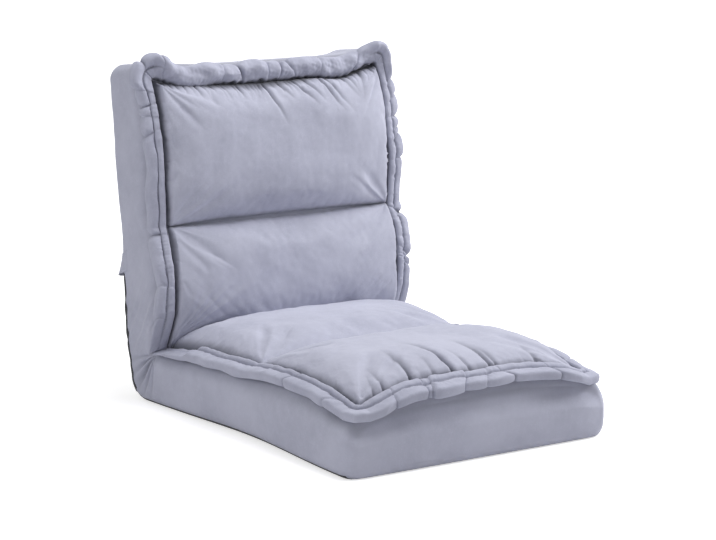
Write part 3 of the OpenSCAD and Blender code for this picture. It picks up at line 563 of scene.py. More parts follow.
def pillow(name, form, outer, seed, node, end_marks=(), end_puckers=(), corner_drags=()):
    """A crowned pillow with puckers along its seams, closed underneath."""
    rows, columns = OUTER_GRID if outer else INNER_GRID
    rng = np.random.default_rng(seed)
    points, from_side, from_channel, from_end = pillow_grid(form, outer, rows, columns)
    points = swollen(points)
    x, t = points[..., 0], points[..., 1]
    normals = grid_normals(points)
    normals = np.where(normals[..., 2:3] < 0, -normals, normals)
    half = form.seam_x
    calm = mix(0.25, 1, smooth(0, CALM_REACH, from_channel))
    painted_fold_shade = 0
    relief = uneven(points, seed, SWELL_MM) * calm
    relief += uneven(points, seed + len(SWELL_MM), DENT_MM)
    relief += puckers(x, from_channel, pucker_marks(rng, -half, half, *CHANNEL_PUCKERS))
    if outer:
        small = pucker_marks(rng, -half, half, *end_puckers)
        folds = puckers(x, from_end, small + list(end_marks))
        relief += folds
        # Painted shade in the folds at the free end
        painted_fold_shade = 0.8 * np.clip(-folds / FOLD_DEPTH, 0, 1)
    for side in (-1, 1):
        marks = pucker_marks(rng, t.min(), t.max(), *SIDE_PUCKERS)
        relief += puckers(t, np.where(side * x > 0, from_side, half), marks)
    relief += drags(x + half, t - CREASE_T - DRAG_START, corner_drags)
    seam_away = np.minimum(from_side, from_end)
    points = points + normals * (relief * smooth(0, SEAM_CLEAR, seam_away))[..., None]
    # Painted shade along the side and end seams and along the channel
    dark_tone_and_painted_shade = bell(seam_away, SEAM_CLEAR) + 0.6 * bell(from_channel, CHANNEL_SHADE)

    ring = border(rows, columns)
    rim = points.reshape(-1, 3)[ring]
    foot_t = np.where(rim[:, 1] < form.channel, lean_back(form, rim), rim[:, 1])
    foot_t = np.maximum(foot_t, t.min() if outer else CREASE_T)
    low = np.stack([rim[:, 0] * FOOT_SHARE, foot_t, np.full_like(foot_t, FOOT_Z)], 1)
    faces = grid_faces(rows, columns)
    start, count = rows * columns, len(ring)
    for k, (a, b) in enumerate(zip(ring, ring[1:] + ring[:1])):
        faces.append((a, b, start + (k + 1) % count, start + k))
    faces.append(tuple(range(start, start + count)))
    everything = np.concatenate([points.reshape(-1, 3), low])
    piece = make_piece(name, in_frame(form, everything), faces, GREY, dark_tone_and_painted_shade + painted_fold_shade)
    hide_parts(node)
    return piece


def lean_back(form, points):
    """Undoes the slant of points near the crease, for the pillow's foot."""
    share = (points[:, 1] - crease_t(points[:, 2])) / (form.channel - crease_t(points[:, 2]))
    return mix(CREASE_T, form.channel, np.clip(share, 0, 1))


def border(rows, columns):
    """Indices round a grid's border, in order."""
    grid = np.arange(rows * columns).reshape(rows, columns)
    return np.concatenate([grid[0], grid[1:, -1], grid[-1, -2::-1], grid[-2:0:-1, 0]]).tolist()


# Roll edges

SEAT.section_shares = np.array([
    (0.04, 0.10), (0.15, 0.00), (0.40, 0.00), (0.65, 0.00), (0.85, 0.00), (0.96, 0.03), (1.01, 0.16),
    (1.02, 0.42), (1.01, 0.66), (0.95, 0.82), (0.80, 0.88), (0.52, 0.90), (0.35, 0.72), (0.29, 0.92),
    (0.22, 1.04), (0.13, 1.05), (0.06, 0.92), (0.04, 0.62), (0.04, 0.35),
])
BACK.section_shares = np.array([
    (0.04, 0.12), (0.15, 0.01), (0.40, 0.00), (0.62, 0.00), (0.82, -0.02), (0.96, 0.02), (1.02, 0.18),
    (1.03, 0.42), (1.00, 0.66), (0.92, 0.82), (0.76, 0.90), (0.58, 0.90), (0.49, 0.74), (0.43, 0.91),
    (0.33, 1.00), (0.19, 1.01), (0.09, 0.90), (0.05, 0.62), (0.04, 0.36),
])
PLUMP_SHARES = np.array([
    (0.02, 0.12), (0.15, 0.01), (0.40, 0.00), (0.62, -0.02), (0.82, -0.04), (0.97, 0.06), (1.06, 0.26),
    (1.08, 0.50), (1.03, 0.76), (0.91, 0.96), (0.77, 1.07), (0.63, 1.10), (0.50, 1.08), (0.37, 1.00),
    (0.25, 0.88), (0.15, 0.73), (0.08, 0.57), (0.03, 0.40), (0.02, 0.25),
])
CORE_UP_SHARE = 0.42
GROOVE_SHARE = 0.42
GROOVE_INDEX = 12
LOOP_STEPS = 3
EAR_WIDTHS = (54 * MM, 13 * MM)
EAR_DROP = 22 * MM
STATION = 1.6 * MM
LEAST_TURN = 1.2 * MM
PINCH_REACH_MM = (7, 12)
NEAR_PINCH = np.linspace(-6, 6, 25) * MM
END_BEFORE, END_AFTER = 10 * MM, 30 * MM
THIN_FADE = 9 * MM
GROOVE_REACH = 7 * MM
GROOVE_SHADE = 1.5 * MM
SEAM_REACH = 6 * MM
STEP_OUT, STEP_UP = 3.3 * MM, 1.9 * MM
PUFF_LENGTH = 70 * MM
GATHER_MM = [(0.45, 9)]
WANDER_MM = [(1.1, 130)]
REACH_MM = [(1.1, 90)]
SEAM_GATHER_MM = [(1.3, 12)]
RIPPLE_MM = [(0.12, 10), (0.5, 28)]
STITCH_PITCH, STITCH_LEN, STITCH_R = 5.5 * MM, 3.4 * MM, 0.45 * MM


def smooth_loop(points):
    """A closed Catmull-Rom curve through points, with a few steps from each to the next."""
    before, after, later = np.roll(points, 1, 0), np.roll(points, -1, 0), np.roll(points, -2, 0)
    rows = []
    for k in range(LOOP_STEPS):
        s = k / LOOP_STEPS
        rows.append(0.5 * (2 * points + (after - before) * s
                           + (2 * before - 5 * points + 4 * after - later) * s ** 2
                           + (3 * points - before - 3 * after + later) * s ** 3))
    return np.stack(rows, 1).reshape(-1, points.shape[1])


def rim_path(form):
    """Stations round the free edges: seam place, outward angle, foot's rise and reach."""
    leg = np.arange(CREASE_T, form.seam_t - LEAST_TURN, STATION)
    side = np.stack([edge_x(form, leg), leg, 0 * leg, side_rise(form, leg), np.ones_like(leg)], 1)
    angles = np.radians(np.linspace(0, 90, 30))[1:-1]
    mitre = mix(1, 1 / np.maximum(np.abs(np.cos(angles)), np.abs(np.sin(angles))), 0.35)
    corner = np.stack([
        form.seam_x - LEAST_TURN + LEAST_TURN * np.cos(angles),
        form.seam_t - LEAST_TURN + LEAST_TURN * np.sin(angles),
        angles, np.full_like(angles, form.rise_corner), mitre,
    ], 1)
    half = form.seam_x - LEAST_TURN
    across = np.linspace(half, 0, int(half / STATION))
    ones = np.ones_like(across)
    end = np.stack([
        across, mix(end_t(form, across), form.seam_t, np.abs(across / half) ** 20),
        ones * math.pi / 2, end_rise(form, across), ones,
    ], 1)
    right = np.concatenate([side, corner, end])
    left = right[::-1][1:].copy()
    left[:, 0] *= -1
    left[:, 2] = math.pi - left[:, 2]
    path = np.concatenate([right, left])[::-1]
    spans = dict(left=(0, len(leg)), end=(len(leg) + len(angles), len(path) - len(leg) - len(angles)),
                 right=(len(path) - len(leg), len(path) - 1))
    return path, spans


def pinches(run, out, marks, crease_half, rng):
    """How far each pinch draws the roll in, its crease, and how the stretches between them differ."""
    wide = np.zeros(np.broadcast(run, out).shape)
    crease = np.zeros_like(wide)
    step = np.zeros_like(wide)
    before = rng.uniform(-1, 1)
    step += before
    for place, depth in marks:
        offset = run - place + rng.uniform(-0.8, 0.8) * (out - 0.5) * RIM_W
        wide += depth * bell(offset, rng.uniform(*PINCH_REACH_MM) * MM)
        crease += depth * np.exp(-(np.abs(offset) / (crease_half * rng.uniform(0.8, 1.6))) ** 1.3)
        after = rng.uniform(-1, 1)
        step += (after - before) * smooth(-crease_half, crease_half, offset)
        before = after
    return np.minimum(wide, 1), np.minimum(crease, 1.2), step


def close_stations(path, run, marks):
    """The path with more stations close to each pinch."""
    near = np.concatenate([place + NEAR_PINCH for place, _ in marks])
    every = np.unique(np.concatenate([run, near[(near > run[0]) & (near < run[-1])]]).round(6))
    return np.stack([np.interp(every, run, path[:, k]) for k in range(path.shape[1])], 1), every


def roll_stations(form):
    """Stations of a roll edge, how far along each is, its pinches, and the share of the free end in each."""
    path, spans = rim_path(form)
    gaps = np.linalg.norm(np.diff(path[:, :2], axis=0), axis=1)
    turns = np.abs(np.diff(path[:, 2])) * RIM_W
    run = np.concatenate([[0], np.cumsum(gaps + turns)])
    ends = {side: (run[first], run[last]) for side, (first, last) in spans.items()}
    marks = [
        (mix(*ends[side], share), depth)
        for side in ("left", "end", "right") for share, depth in form.pinch_shares[side]
    ]
    if form.plump_end:
        marks.append(((ends["left"][1] + ends["end"][0]) / 2, 0.9))
        marks.append(((ends["end"][1] + ends["right"][0]) / 2, 0.3))
        marks.sort()
    path, run = close_stations(path, run, marks)
    first, last = ends["end"]
    end_share = smooth(first - END_BEFORE, first + END_AFTER, run)
    end_share = end_share * smooth(last + END_BEFORE, last - END_AFTER, run)
    return path, run[:, None], marks, end_share[:, None]


def roll_edge(name, form, seed, node):
    """A padded roll with one stitched line, gathered by pinches at uneven steps."""
    path, run, marks, end_share = roll_stations(form)
    plump = form.plump_end * end_share
    plain = 1 - plump
    section_now = mix(smooth_loop(form.section_shares), smooth_loop(PLUMP_SHARES), plump[..., None])
    out, up = section_now[..., 0], section_now[..., 1]
    wide, crease, step = pinches(run, out, marks, form.crease_half, np.random.default_rng(seed))
    line = run[..., None] * np.array([1, 0, 0])
    band = smooth(0.36, 0.60, out)
    top = smooth(0.2, 0.6, up)
    x, t, angle, rise, reach = (path[:, k][:, None] for k in range(5))

    along_t = np.where(end_share < 0.5, t, form.length)
    full = smooth(form.thin_until - THIN_FADE, form.thin_until + THIN_FADE, along_t)
    thick = mix(mix(0.3, 0.55, smooth(CREASE_T, form.thin_until, along_t)), 1, full)
    puff = 1 + 0.035 * waves(line, PUFF_LENGTH, seed + 3)
    groove = bell((out - GROOVE_SHARE) * RIM_W, GROOVE_REACH) * top
    gathers = uneven(line, seed + 4, GATHER_MM) * groove * plain
    drawn = mix(0.4, 1, np.maximum(band, plump))
    end_out = form.end_out * end_share
    stepped = step * full * (1 - 0.65 * plump)
    out_mm = RIM_W * out * (1 - (form.waist_share * wide + 0.13 * crease) * band) * puff
    out_mm = out_mm + (STEP_OUT * stepped + end_out) * band
    out_mm = out_mm + 0.6 * end_out * (1 - band) * smooth(0.05, 0.35, out)
    shrink = 1 - (0.07 * wide + 0.46 * crease * top) * drawn
    up_mm = form.rim_t * (CORE_UP_SHARE + (up - CORE_UP_SHARE) * shrink * puff) * thick
    up_mm = up_mm + gathers + STEP_UP * stepped * top

    droop = np.radians(mix(form.side_droop, form.end_droop, end_share))
    out_now = out_mm * np.cos(droop) + up_mm * np.sin(droop)
    up_now = up_mm * np.cos(droop) - out_mm * np.sin(droop)
    out_now = out_now + uneven(line, seed + 6, REACH_MM) * band * full
    up_now = up_now + uneven(line, seed + 5, WANDER_MM) * full
    ear = bell(np.abs(x) - form.seam_x, np.where(x < 0, *EAR_WIDTHS)) * bell(t - form.seam_t, EAR_DROP)
    out_t = out_now * reach * (1 + ear * np.where(x < 0, *form.ear_shares))
    out_t = out_t + plump * uneven(line, seed + 7, SEAM_GATHER_MM) * bell(out * RIM_W, SEAM_REACH)
    out_x = out_now * reach * (1 - ear * np.where(x < 0, *form.ear_in_shares))
    ear_up = ear * np.where(x < 0, form.left_ear_up, form.right_ear_up) * smooth(0.1, 0.9, out)
    places = np.stack([
        x + out_x * np.cos(angle) + right_shift(form, x, t), t + out_t * np.sin(angle),
        FOOT_Z + rise + up_now + ear_up,
    ], -1)
    places[..., 2] += uneven(places, seed + 8, RIPPLE_MM) * (1 + 2.2 * plump) * top
    places[..., 1] = lean(form, places[..., 1], places[..., 2])

    rows, columns = places.shape[:2]
    faces = grid_faces(rows, columns, close=True)
    faces.append(tuple(range(columns)))
    faces.append(tuple((rows - 1) * columns + c for c in range(columns)))
    groove_column = GROOVE_INDEX * LOOP_STEPS
    from_groove = (out - out[:, groove_column, None]) * RIM_W
    # Painted shade: darker in the pinch creases, along the stitched groove, and at the seam where the roll meets
    # the pillow
    dark_tone_and_painted_shade = 0.65 * crease ** 2 * mix(0.4, 1, band) + 0.55 * bell(from_groove, GROOVE_SHADE) * top * plain
    dark_tone_and_painted_shade = dark_tone_and_painted_shade + smooth(0.16, 0.03, out) * smooth(0.95, 0.6, up)
    piece = make_piece(name, in_frame(form, places), faces, PAINTED_SHADE_RIM_SUEDE, dark_tone_and_painted_shade * full)
    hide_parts(node)
    bends(piece)
    shown = (full > 0.9) & (plump < 0.3)
    for number, part in enumerate(runs_of(shown[:, 0])):
        bends(stitches(f"{name}_stitching_{number + 1}", in_frame(form, places[part, groove_column])))


def runs_of(shown):
    """Slices of the stretches where a row of truths holds."""
    edges = np.flatnonzero(np.diff(np.concatenate([[0], shown.astype(int), [0]])))
    return [slice(a, b) for a, b in zip(edges[::2], edges[1::2]) if b - a > 20]


def stitches(name, line):
    """A row of short thread stitches along a line of places."""
    gaps = np.linalg.norm(np.diff(line, axis=0), axis=1)
    run = np.concatenate([[0], np.cumsum(gaps)])
    points, faces = [], []
    sides = 6
    for start in np.arange(STITCH_PITCH / 2, run[-1] - STITCH_LEN, STITCH_PITCH):
        ends = np.array([[np.interp(start + s, run, line[:, k]) for k in range(3)] for s in (0, STITCH_LEN)])
        axis = Vector(ends[1] - ends[0]).normalized()
        turn = axis.to_track_quat("Z", "Y")
        first = len(points)
        for share, width in ((0, 0.35), (0.2, 1), (0.8, 1), (1, 0.35)):
            centre = Vector(mix(ends[0], ends[1], share))
            for k in range(sides):
                angle = 2 * math.pi * k / sides
                offset = Vector((math.cos(angle), math.sin(angle), 0)) * STITCH_R * width
                points.append(tuple(centre + turn @ offset))
        faces += grid_faces(4, sides, first, close=True)
        faces.append(tuple(first + k for k in range(sides)))
        faces.append(tuple(first + 3 * sides + k for k in range(sides)))
    return make_piece(name, np.array(points), faces, THREAD)


# Slab covers

FLAT_COLUMNS = 44
SIDE_COLUMNS = 60
SLAB_ROWS = 230
COVER_GAP = 1 * MM
END_RISE_START, END_RISE_FULL = 90 * MM, 25 * MM
WAIST_EDGE = 40 * MM
BULGE_SHARE = 0.65
BULGE_REACH = 75 * MM
SIDE_EDGE = 8 * MM
SIDE_SWELL = 2.0 * MM
SWELL_START, SWELL_END = 90 * MM, 60 * MM
SKIN_MM = [(0.8, 130), (0.25, 40)]
END_RINGS = 30
END_CROWN = 2.5 * MM
END_MM = [(0.5, 120)]
FOLD_SHADE_DEPTH = 15 * MM

# Folds that fan out from the crease: turn and width in degrees, and depth in mm
CREASE_FOLDS = [
    (-14, 4.0, -7.0), (-6, 4.0, 3.0), (2, 3.6, -8.0), (9, 4.0, 3.0), (16, 3.6, -7.0), (24, 4.5, 2.6),
    (32, 4.5, -4.0), (42, 7.0, 2.0),
]
FOLD_UNDER = 4 * MM
FOLD_CLEAR, FOLD_FADE, FOLD_END = 9 * MM, 45 * MM, 115 * MM
SLANT_WAVES = (5.2 * MM, 3.1 * MM)
SLANT_HEIGHT = 0.9 * MM
SLANT_PLACE, SLANT_REACH = 115 * MM, 65 * MM


def arc(x, z, radius, first, last, count):
    """Places on an arc between two angles in degrees, without its last one."""
    turn = np.radians(np.linspace(first, last, count)[:-1])
    return np.stack([x + radius * np.cos(turn), z + radius * np.sin(turn)], 1)


def slab_section(low_r):
    """Places round a slab's section, from the middle of its underside."""
    low_x, low_z = HALF_W - low_r, low_r - HALF_T
    top_x, top_z = HALF_W - TOP_EDGE_R, HALF_T - TOP_EDGE_R
    right = np.concatenate([
        np.linspace((0, -HALF_T), (low_x, -HALF_T), FLAT_COLUMNS)[:-1],
        arc(low_x, low_z, low_r, -90, 0, 14),
        np.linspace((HALF_W, low_z), (HALF_W, top_z), SIDE_COLUMNS)[:-1],
        arc(top_x, top_z, TOP_EDGE_R, 0, 90, 16),
        np.linspace((top_x, HALF_T), (0, HALF_T), FLAT_COLUMNS),
    ])
    left = right[::-1][1:-1].copy()
    left[:, 0] *= -1
    return np.concatenate([right, left])


def wrap_hinge(t, z):
    """Bends what is past the axis, on the outer side of a slab, round the axis."""
    radius = np.maximum(np.abs(z), 1e-6)
    angle = np.where(t < 0, -t / radius, 0)
    bent = (t < 0) & (z < 0)
    return np.where(bent, -radius * np.sin(angle), t), np.where(bent, -radius * np.cos(angle), z)


def slab_end(z):
    """Where a slab ends at the hinge: on the plane between the seat and the back."""
    return np.where(z > 0, crease_t(z), (math.pi / 2 - SPLIT) * z)


def face_sag(form, x):
    """How far a slab's end face is drawn in, more evenly towards the right-hand corner."""
    across = np.minimum(1, np.abs(x) / HALF_W)
    return form.face_sag * (1 - across ** np.where(x < 0, 3, 8))


def slab_rows(length):
    """Shares of a slab's length, crowded round its end edge, and how far that edge is drawn in at each."""
    bow = np.sin(np.radians(np.linspace(0, 90, 9)[1:]))
    straight = shares(SLAB_ROWS, 0, 1, 0.35) * (length - END_EDGE_R)
    share = np.concatenate([straight, length - END_EDGE_R * (1 - bow)]) / length
    inset = np.concatenate([0 * straight, END_EDGE_R * (1 - np.sqrt(1 - bow ** 2))])
    return share[:, None], inset[:, None]


def slab_grid(form):
    """A slab's skin: rows from the hinge to the free end, columns round its section from below, with a mask of
    painted shade.
    """
    length = form.length
    share, inset = slab_rows(length)
    flat_x, flat_z = (side[None] * np.ones_like(share) for side in slab_section(form.low_r).T)
    low = np.clip(-flat_z / HALF_T, 0, 1)
    x = flat_x * (1 - inset / HALF_W)
    z = flat_z * (1 - inset / HALF_T)
    t_flat = share * length
    at_end = smooth(length - END_RISE_START, length - END_RISE_FULL, t_flat)
    rise = mix(side_rise(form, t_flat), end_rise(form, x), at_end)
    z = z + (rise - COVER_GAP) * np.clip((z + HALF_T * 0.2) / (HALF_T * 1.2), 0, 1)
    sag = face_sag(form, flat_x) + form.face_in * smooth(0.1, 1, flat_z / HALF_T)
    t = mix(slab_end(z), length - sag * smooth(0.6, 1, share), share)
    corner = smooth(length - CORNER_R * 1.6, length, t_flat) ** 2 * smooth(0.8 * HALF_W, HALF_W, np.abs(x))
    x = x - np.sign(x) * CORNER_R * (0.35 + 0.5 * low ** 2) * corner
    x = x * (1 + form.flare / HALF_W * smooth(0.45 * length, length, t_flat) * (1 + 0.2 * flat_z / -HALF_T))
    waist = form.waist * bell(t_flat - 0.53 * length, 0.3 * length)
    waist = waist * smooth(HALF_W - WAIST_EDGE, HALF_W, np.abs(flat_x))
    x = x - np.sign(x) * waist * low
    z = z + waist * low ** 2
    z = z - form.bulge * bell(t_flat - BULGE_SHARE * BLACK_LEN, BULGE_REACH) * low
    t, z = wrap_hinge(t, z)
    side = smooth(HALF_W - SIDE_EDGE, HALF_W, np.abs(flat_x)) * (1 - inset / END_EDGE_R)
    level = np.clip(1 - (flat_z / HALF_T) ** 2, 0, 1)
    places = np.stack([x, t, z], -1)
    folds = crease_folds(t, z)
    swell = SIDE_SWELL * level * smooth(0, SWELL_START, t) * smooth(length, length - SWELL_END, t)
    swell = swell + uneven(places, form.skin_seed, SKIN_MM) + folds + slant_folds(form, t, z)
    places[..., 0] += np.sign(flat_x) * side * swell
    # Painted shade: darker in the crease folds at the sides, and along the top of the sides and end under the roll
    # edge
    painted_under_roll_shade = 0.42 * smooth(0.35, 1, flat_z / HALF_T) ** 2
    return places, np.clip(-folds / FOLD_SHADE_DEPTH, 0, 1) * side + painted_under_roll_shade


def closed_end(start, columns):
    """Faces across a flat ring, each from its lower half to its upper half."""
    top = columns // 2
    faces = []
    for k in range((top + 1) // 2):
        for side in (1, -1):
            corners = (side * k, side * (k + 1), top - side * (k + 1), top - side * k)
            faces.append(tuple(dict.fromkeys(start + corner % columns for corner in corners)))
    return [face for face in faces if len(face) > 2]


def slab_cover(name, form, nodes):
    """The grey cover of a slab: soft edges, a full end face, and folds that run into the crease."""
    places, dark_tone_and_painted_shade = slab_grid(form)
    rings, shades = [places], [dark_tone_and_painted_shade]
    last = places[-1]
    middle = (last[:, 2].max() + last[:, 2].min()) / 2
    half_h = (last[:, 2].max() - last[:, 2].min()) / 2
    for s in np.linspace(0, 1, END_RINGS)[1:-1]:
        ring = last * np.array([1 - s * half_h / HALF_W, 1, 1 - s]) + np.array([0, 0, middle * s])
        ring[:, 1] = mix(last[:, 1], form.length - face_sag(form, ring[:, 0]), smooth(0, 1, s))
        ring[:, 1] += END_CROWN * (1 - (1 - s) ** 2) + uneven(ring, form.skin_seed + 4, END_MM)
        rings.append(ring[None])
        # Painted shade under the roll edge fades out over the top of the end face
        shades.append(dark_tone_and_painted_shade[-1:] * smooth(0.3, 0, s))
    places = np.concatenate(rings)
    rows, columns = places.shape[:2]
    faces = grid_faces(rows, columns, close=True)
    faces.append(tuple(range(columns)))
    faces += closed_end((rows - 1) * columns, columns)
    piece = make_piece(name, in_frame(form, places), faces, GREY, np.concatenate(shades))
    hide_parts(*nodes)
    bends(piece)


def crease_folds(t, z):
    """Folds of the side fabric that fan out from the crease towards the hinge's knuckle."""
    corner_z = HALF_T + CREASE_RISE - FOLD_UNDER
    away_t, away_z = t - crease_t(corner_z), z - corner_z
    distance = np.hypot(away_t, away_z)
    turn = np.degrees(np.arctan2(away_t, -away_z)) + 90 - math.degrees(SPLIT)
    total = np.zeros_like(distance)
    for middle, width, depth in CREASE_FOLDS:
        total += depth * MM * np.exp(-(np.abs((turn - middle) / width) ** 1.4))
    return total * smooth(FOLD_END, FOLD_FADE, distance) * smooth(0, FOLD_CLEAR, distance)


def slant_folds(form, t, z):
    """Faint slanting drags on the back's side, over the hinge."""
    if form is SEAT:
        return 0 * t
    across = z - 0.8 * t
    wave = np.sin(across / SLANT_WAVES[0]) + 0.7 * np.sin(across / SLANT_WAVES[1] + 1.1)
    return SLANT_HEIGHT * wave * bell(t - SLANT_PLACE, SLANT_REACH)


def grid_outward(places):
    """Unit vectors that point out of a slab's skin."""
    normals = grid_normals(places)
    core = places * np.array([0.8, 1, 0])
    inward = ((places - core) * normals).sum(2) < 0
    return np.where(inward[..., None], -normals, normals)


# The black fabric underneath and behind, and the hem flap

LINING_T = 1.2 * MM
LINING_LIFT = 0.9 * MM
FLAP_T = 1.6 * MM
FLAP_UNDER = 2 * MM
FLAP_WAVE, FLAP_WAVE_LENGTH = 2.5 * MM, 120 * MM
FLAP_LIFTS = (0.4 * MM, 1.9 * MM)
REAR_START, REAR_FULL = 28 * MM - HALF_T, 6 * MM - HALF_T


def skin_sheet(name, form, reach, turn_up, lift, thickness, material, nodes):
    """Fabric over part of a slab's outer face, between two lengths from the hinge, turned up at its edges."""
    places, _ = slab_grid(form)
    outward = grid_outward(places)
    wide = FLAT_COLUMNS - 1 + turn_up
    first, last = (int(np.searchsorted(places[:, 0, 1], length)) for length in reach)
    pick = np.r_[-wide:wide + 1]
    places, outward = places[first:last, pick], outward[first:last, pick]
    share = np.linspace(0, 1, last - first)[:, None, None]
    outer = places + lift(share, places, outward)
    inner = outer - thickness * outward
    rows, columns = outer.shape[:2]
    start = rows * columns
    faces = grid_faces(rows, columns) + grid_faces(rows, columns, start)
    ring = border(rows, columns)
    for a, b in zip(ring, ring[1:] + ring[:1]):
        faces.append((a, b, start + b, start + a))
    both = np.concatenate([outer.reshape(-1, 3), inner.reshape(-1, 3)])
    piece = make_piece(name, in_frame(form, both), faces, material)
    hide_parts(*nodes)
    return piece, outer


def flat_lift(share, places, outward):
    return LINING_LIFT * outward


def flap_lift(share, places, outward):
    """The hem flap kicks out towards its lower edge, waves a little, and lies close at its sides."""
    wave = 0.5 + 0.5 * waves(places * np.array([1, 0, 0]), FLAP_WAVE_LENGTH, 95)[..., None]
    back = smooth(REAR_START, REAR_FULL, places[..., 2:3])
    kick = (FLAP_KICK + FLAP_WAVE * wave) * (1 - share) ** 1.6 * back
    return mix(*FLAP_LIFTS, back) * outward - kick * np.array([0, 0, 1])


# All the upholstery

def pucker_rows(*rows_mm):
    """Chosen puckers, each written as place, length, depth and width in mm, and its slant."""
    return [(place * MM, length * MM, depth * MM, slant, width * MM)
            for place, length, depth, width, slant in rows_mm]


HEAD_MARKS = pucker_rows(
    (-168, 30, 4, 3, 0.3), (-105, 36, 4, 3, 0.2), (-72, 30, 4, 3, 0.3), (-12, 90, 10, 2.6, 0.3),
    (22, 36, 7, 2.6, 0.5), (56, 56, 9, 2.6, 0.65), (80, 50, 7, 2.6, 0.6), (112, 70, 9, 2.6, 0.55),
    (128, 74, 6, 3.5, 0.6), (168, 50, 4, 4, 0.5), (212, 60, 5, 5, -0.3),
)
FRONT_MARKS = pucker_rows(
    (-205, 60, 5, 4, 0.3), (-183, 70, 7, 4, 0.1), (-122, 120, 11, 4.5, 0.05), (-74, 60, 4, 5, -0.1),
    (-32, 150, 12, 4.5, -0.15), (8, 70, 5, 4, -0.25), (56, 120, 10, 4.5, -0.2), (68, 80, 6, 4, -0.25),
    (160, 70, 6, 5, -0.1),
)
HEAD_PUCKERS = (13 * MM, 27 * MM, 3.6 * MM, 2.2 * MM)
FRONT_PUCKERS = (26 * MM, 24 * MM, 1.0 * MM, 3.2 * MM)
LUMBAR_DRAGS = [
    (18, 5, 2.2 * MM, 200 * MM), (30, 4, 2.8 * MM, 260 * MM), (40, 3.5, 2.4 * MM, 240 * MM),
    (51, 4, 2.0 * MM, 200 * MM), (66, 5, 1.6 * MM, 160 * MM),
]


def build_pillows():
    head = pillow("head_pillow", BACK, True, 11, "head_pad", HEAD_MARKS, HEAD_PUCKERS)
    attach(head, "back")
    bends(pillow("lumbar_pillow", BACK, False, 21, "lumbar_pad", corner_drags=LUMBAR_DRAGS))
    front = pillow("seat_front_pillow", SEAT, True, 31, "seat_front_pad", FRONT_MARKS, FRONT_PUCKERS)
    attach(front, "seat")
    bends(pillow("seat_rear_pillow", SEAT, False, 41, "seat_rear_pad"))


def build_lining():
    for name, form, length, turn_up, nodes in (
        ("base_sheet", SEAT, SEAT.length - END_EDGE_R, 7, ["base_cover", "knuckle_wrap"]),
        ("back_lower_sheet", BACK, BLACK_LEN, 13, ["back_lower_panel"]),
    ):
        sheet, _ = skin_sheet(name, form, (-1, length), turn_up, flat_lift, LINING_T, BLACK,
                              nodes)
        bends(sheet)


def build_flap():
    reach = (BLACK_LEN - FLAP_UNDER, BLACK_LEN + FLAP_LEN)
    flap, outer = skin_sheet("rear_hem_flap", BACK, reach, 26, flap_lift, FLAP_T, GREY,
                             ["rear_flap"])
    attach(flap, "back")
    for number, row in enumerate((2, len(outer) - 3)):
        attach(stitches(f"rear_hem_stitching_{number + 1}", in_frame(BACK, outer[row])), "back")


def build_chair():
    build_pillows()
    roll_edge("back_roll_edge", BACK, 51, "back_rim")
    roll_edge("seat_roll_edge", SEAT, 61, "seat_rim")
    slab_cover("seat_slab_cover", SEAT, ["seat_cover", "seat_foam_lower", "seat_foam_upper", "crease_gusset"])
    slab_cover("back_slab_cover", BACK, ["back_cover", "back_foam_rear", "back_foam_front"])
    build_lining()
    build_flap()


def dress_frame():
    """Finishes for the tubes, hinges and foam inside."""
    finishes = {slot: plain_detail(slot, *look) for slot, look in FINISHES.items()}
    finishes["foam"] = GREY
    for part in frame["record"]["subparts"]:
        finish = finishes.get(part["material_slot"])
        if finish:
            materials = frame["nodes"][part["node"]].data.materials
            materials.clear()
            materials.append(finish)


# Studio and camera

FOCAL_MM = 131.65
CAMERA_PLACE = Vector((-2.7382, -3.9022, 1.1656))
CAMERA_YAW = math.radians(34.87)
CAMERA_PITCH = math.radians(10.49)
LIT_PLACE = Vector((0, 0, 0.25))
FLOOR_HALF = 12
FLOOR_GAP = 0.6 * MM


def make_camera():
    data = bpy.data.cameras.new("camera")
    data.lens = FOCAL_MM
    data.clip_end = 60
    camera = add_object("camera", data)
    camera.location = CAMERA_PLACE
    level = math.cos(CAMERA_PITCH)
    aim(camera, Vector((math.sin(CAMERA_YAW) * level, math.cos(CAMERA_YAW) * level, -math.sin(CAMERA_PITCH))))
    bpy.context.scene.camera = camera


def area_light(name, place, size, power):
    data = bpy.data.lights.new(name, "AREA")
    data.shape = "RECTANGLE"
    data.size, data.size_y = size
    data.energy = power
    light = add_object(name, data)
    light.location = place
    aim(light, LIT_PLACE - Vector(place))


def seen_directly(tree):
    """1 for camera, glossy and transmission rays, 0 for the rest."""
    path = tree.nodes.new("ShaderNodeLightPath").outputs
    shiny = math_node(tree, "MAXIMUM", path["Is Glossy Ray"], path["Is Transmission Ray"])
    return math_node(tree, "MAXIMUM", path["Is Camera Ray"], shiny)


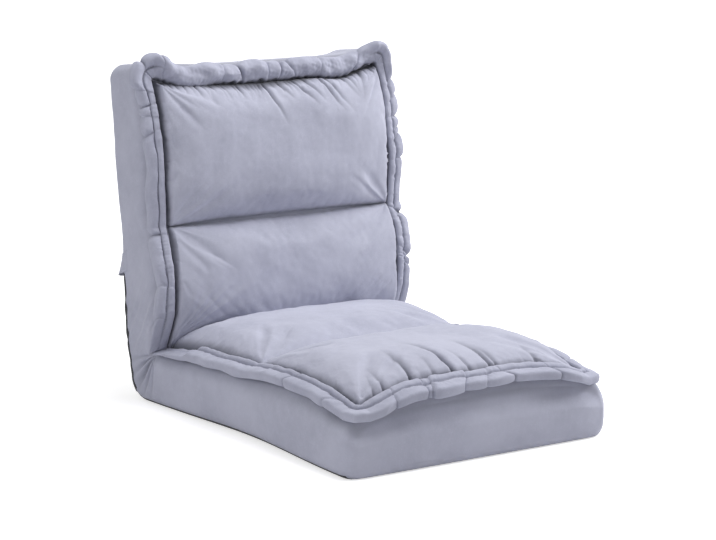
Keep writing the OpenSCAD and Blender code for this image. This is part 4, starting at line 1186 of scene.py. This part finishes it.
def make_world():
    world = bpy.data.worlds.new("studio")
    bpy.context.scene.world = world
    world.use_nodes = True
    tree = world.node_tree
    fill = tree.nodes["Background"]
    white = tree.nodes.new("ShaderNodeBackground")
    for background, strength in ((fill, 0.325), (white, 1)):
        set_sockets(background, {"Color": (1, 1, 1, 1), "Strength": strength})
    choice = tree.nodes.new("ShaderNodeMixShader")
    tree.links.new(seen_directly(tree), choice.inputs[0])
    tree.links.new(fill.outputs[0], choice.inputs[1])
    tree.links.new(white.outputs[0], choice.inputs[2])
    tree.links.new(choice.outputs[0], tree.nodes["World Output"].inputs["Surface"])


def make_floor():
    """A white floor, which keeps the chair's shadow and is plain white farther away."""
    mesh = bpy.data.meshes.new("floor")
    corners = [(x * FLOOR_HALF, y * FLOOR_HALF, 0) for x, y in ((-1, -1), (1, -1), (1, 1), (-1, 1))]
    mesh.from_pydata(corners, [], [(0, 1, 2, 3)])
    floor = add_object("floor", mesh)
    floor.location.z = -FLOOR_GAP
    material, tree, shader = new_material("pale_floor")
    set_sockets(shader, {"Base Color": (0.78, 0.78, 0.79, 1), "Roughness": 0.9})
    distance = tree.nodes.new("ShaderNodeVectorMath")
    distance.operation = "LENGTH"
    tree.links.new(tree.nodes.new("ShaderNodeTexCoord").outputs["Object"], distance.inputs[0])
    glow = ranged(tree, distance.outputs["Value"], 0.7, 2.2, 0.62, 1)
    white = tree.nodes.new("ShaderNodeEmission")
    tree.links.new(math_node(tree, "MULTIPLY", glow, seen_directly(tree)), white.inputs["Strength"])
    both = tree.nodes.new("ShaderNodeAddShader")
    tree.links.new(shader.outputs[0], both.inputs[0])
    tree.links.new(white.outputs[0], both.inputs[1])
    tree.links.new(both.outputs[0], tree.nodes["Material Output"].inputs["Surface"])
    mesh.materials.append(material)


def make_lights():
    area_light("top_light", (0.4, -0.2, 3.1), (2.4, 1.0), 52)
    area_light("key_light", (2.8, -0.75, 1.7), (1.2, 1.2), 61)
    area_light("left_fill", (-2.6, 0.2, 1.3), (1.6, 1.6), 16)


make_camera()
build_chair()
dress_frame()
make_world()
make_floor()
make_lights()
bpy.context.scene.view_settings.view_transform = "Standard"
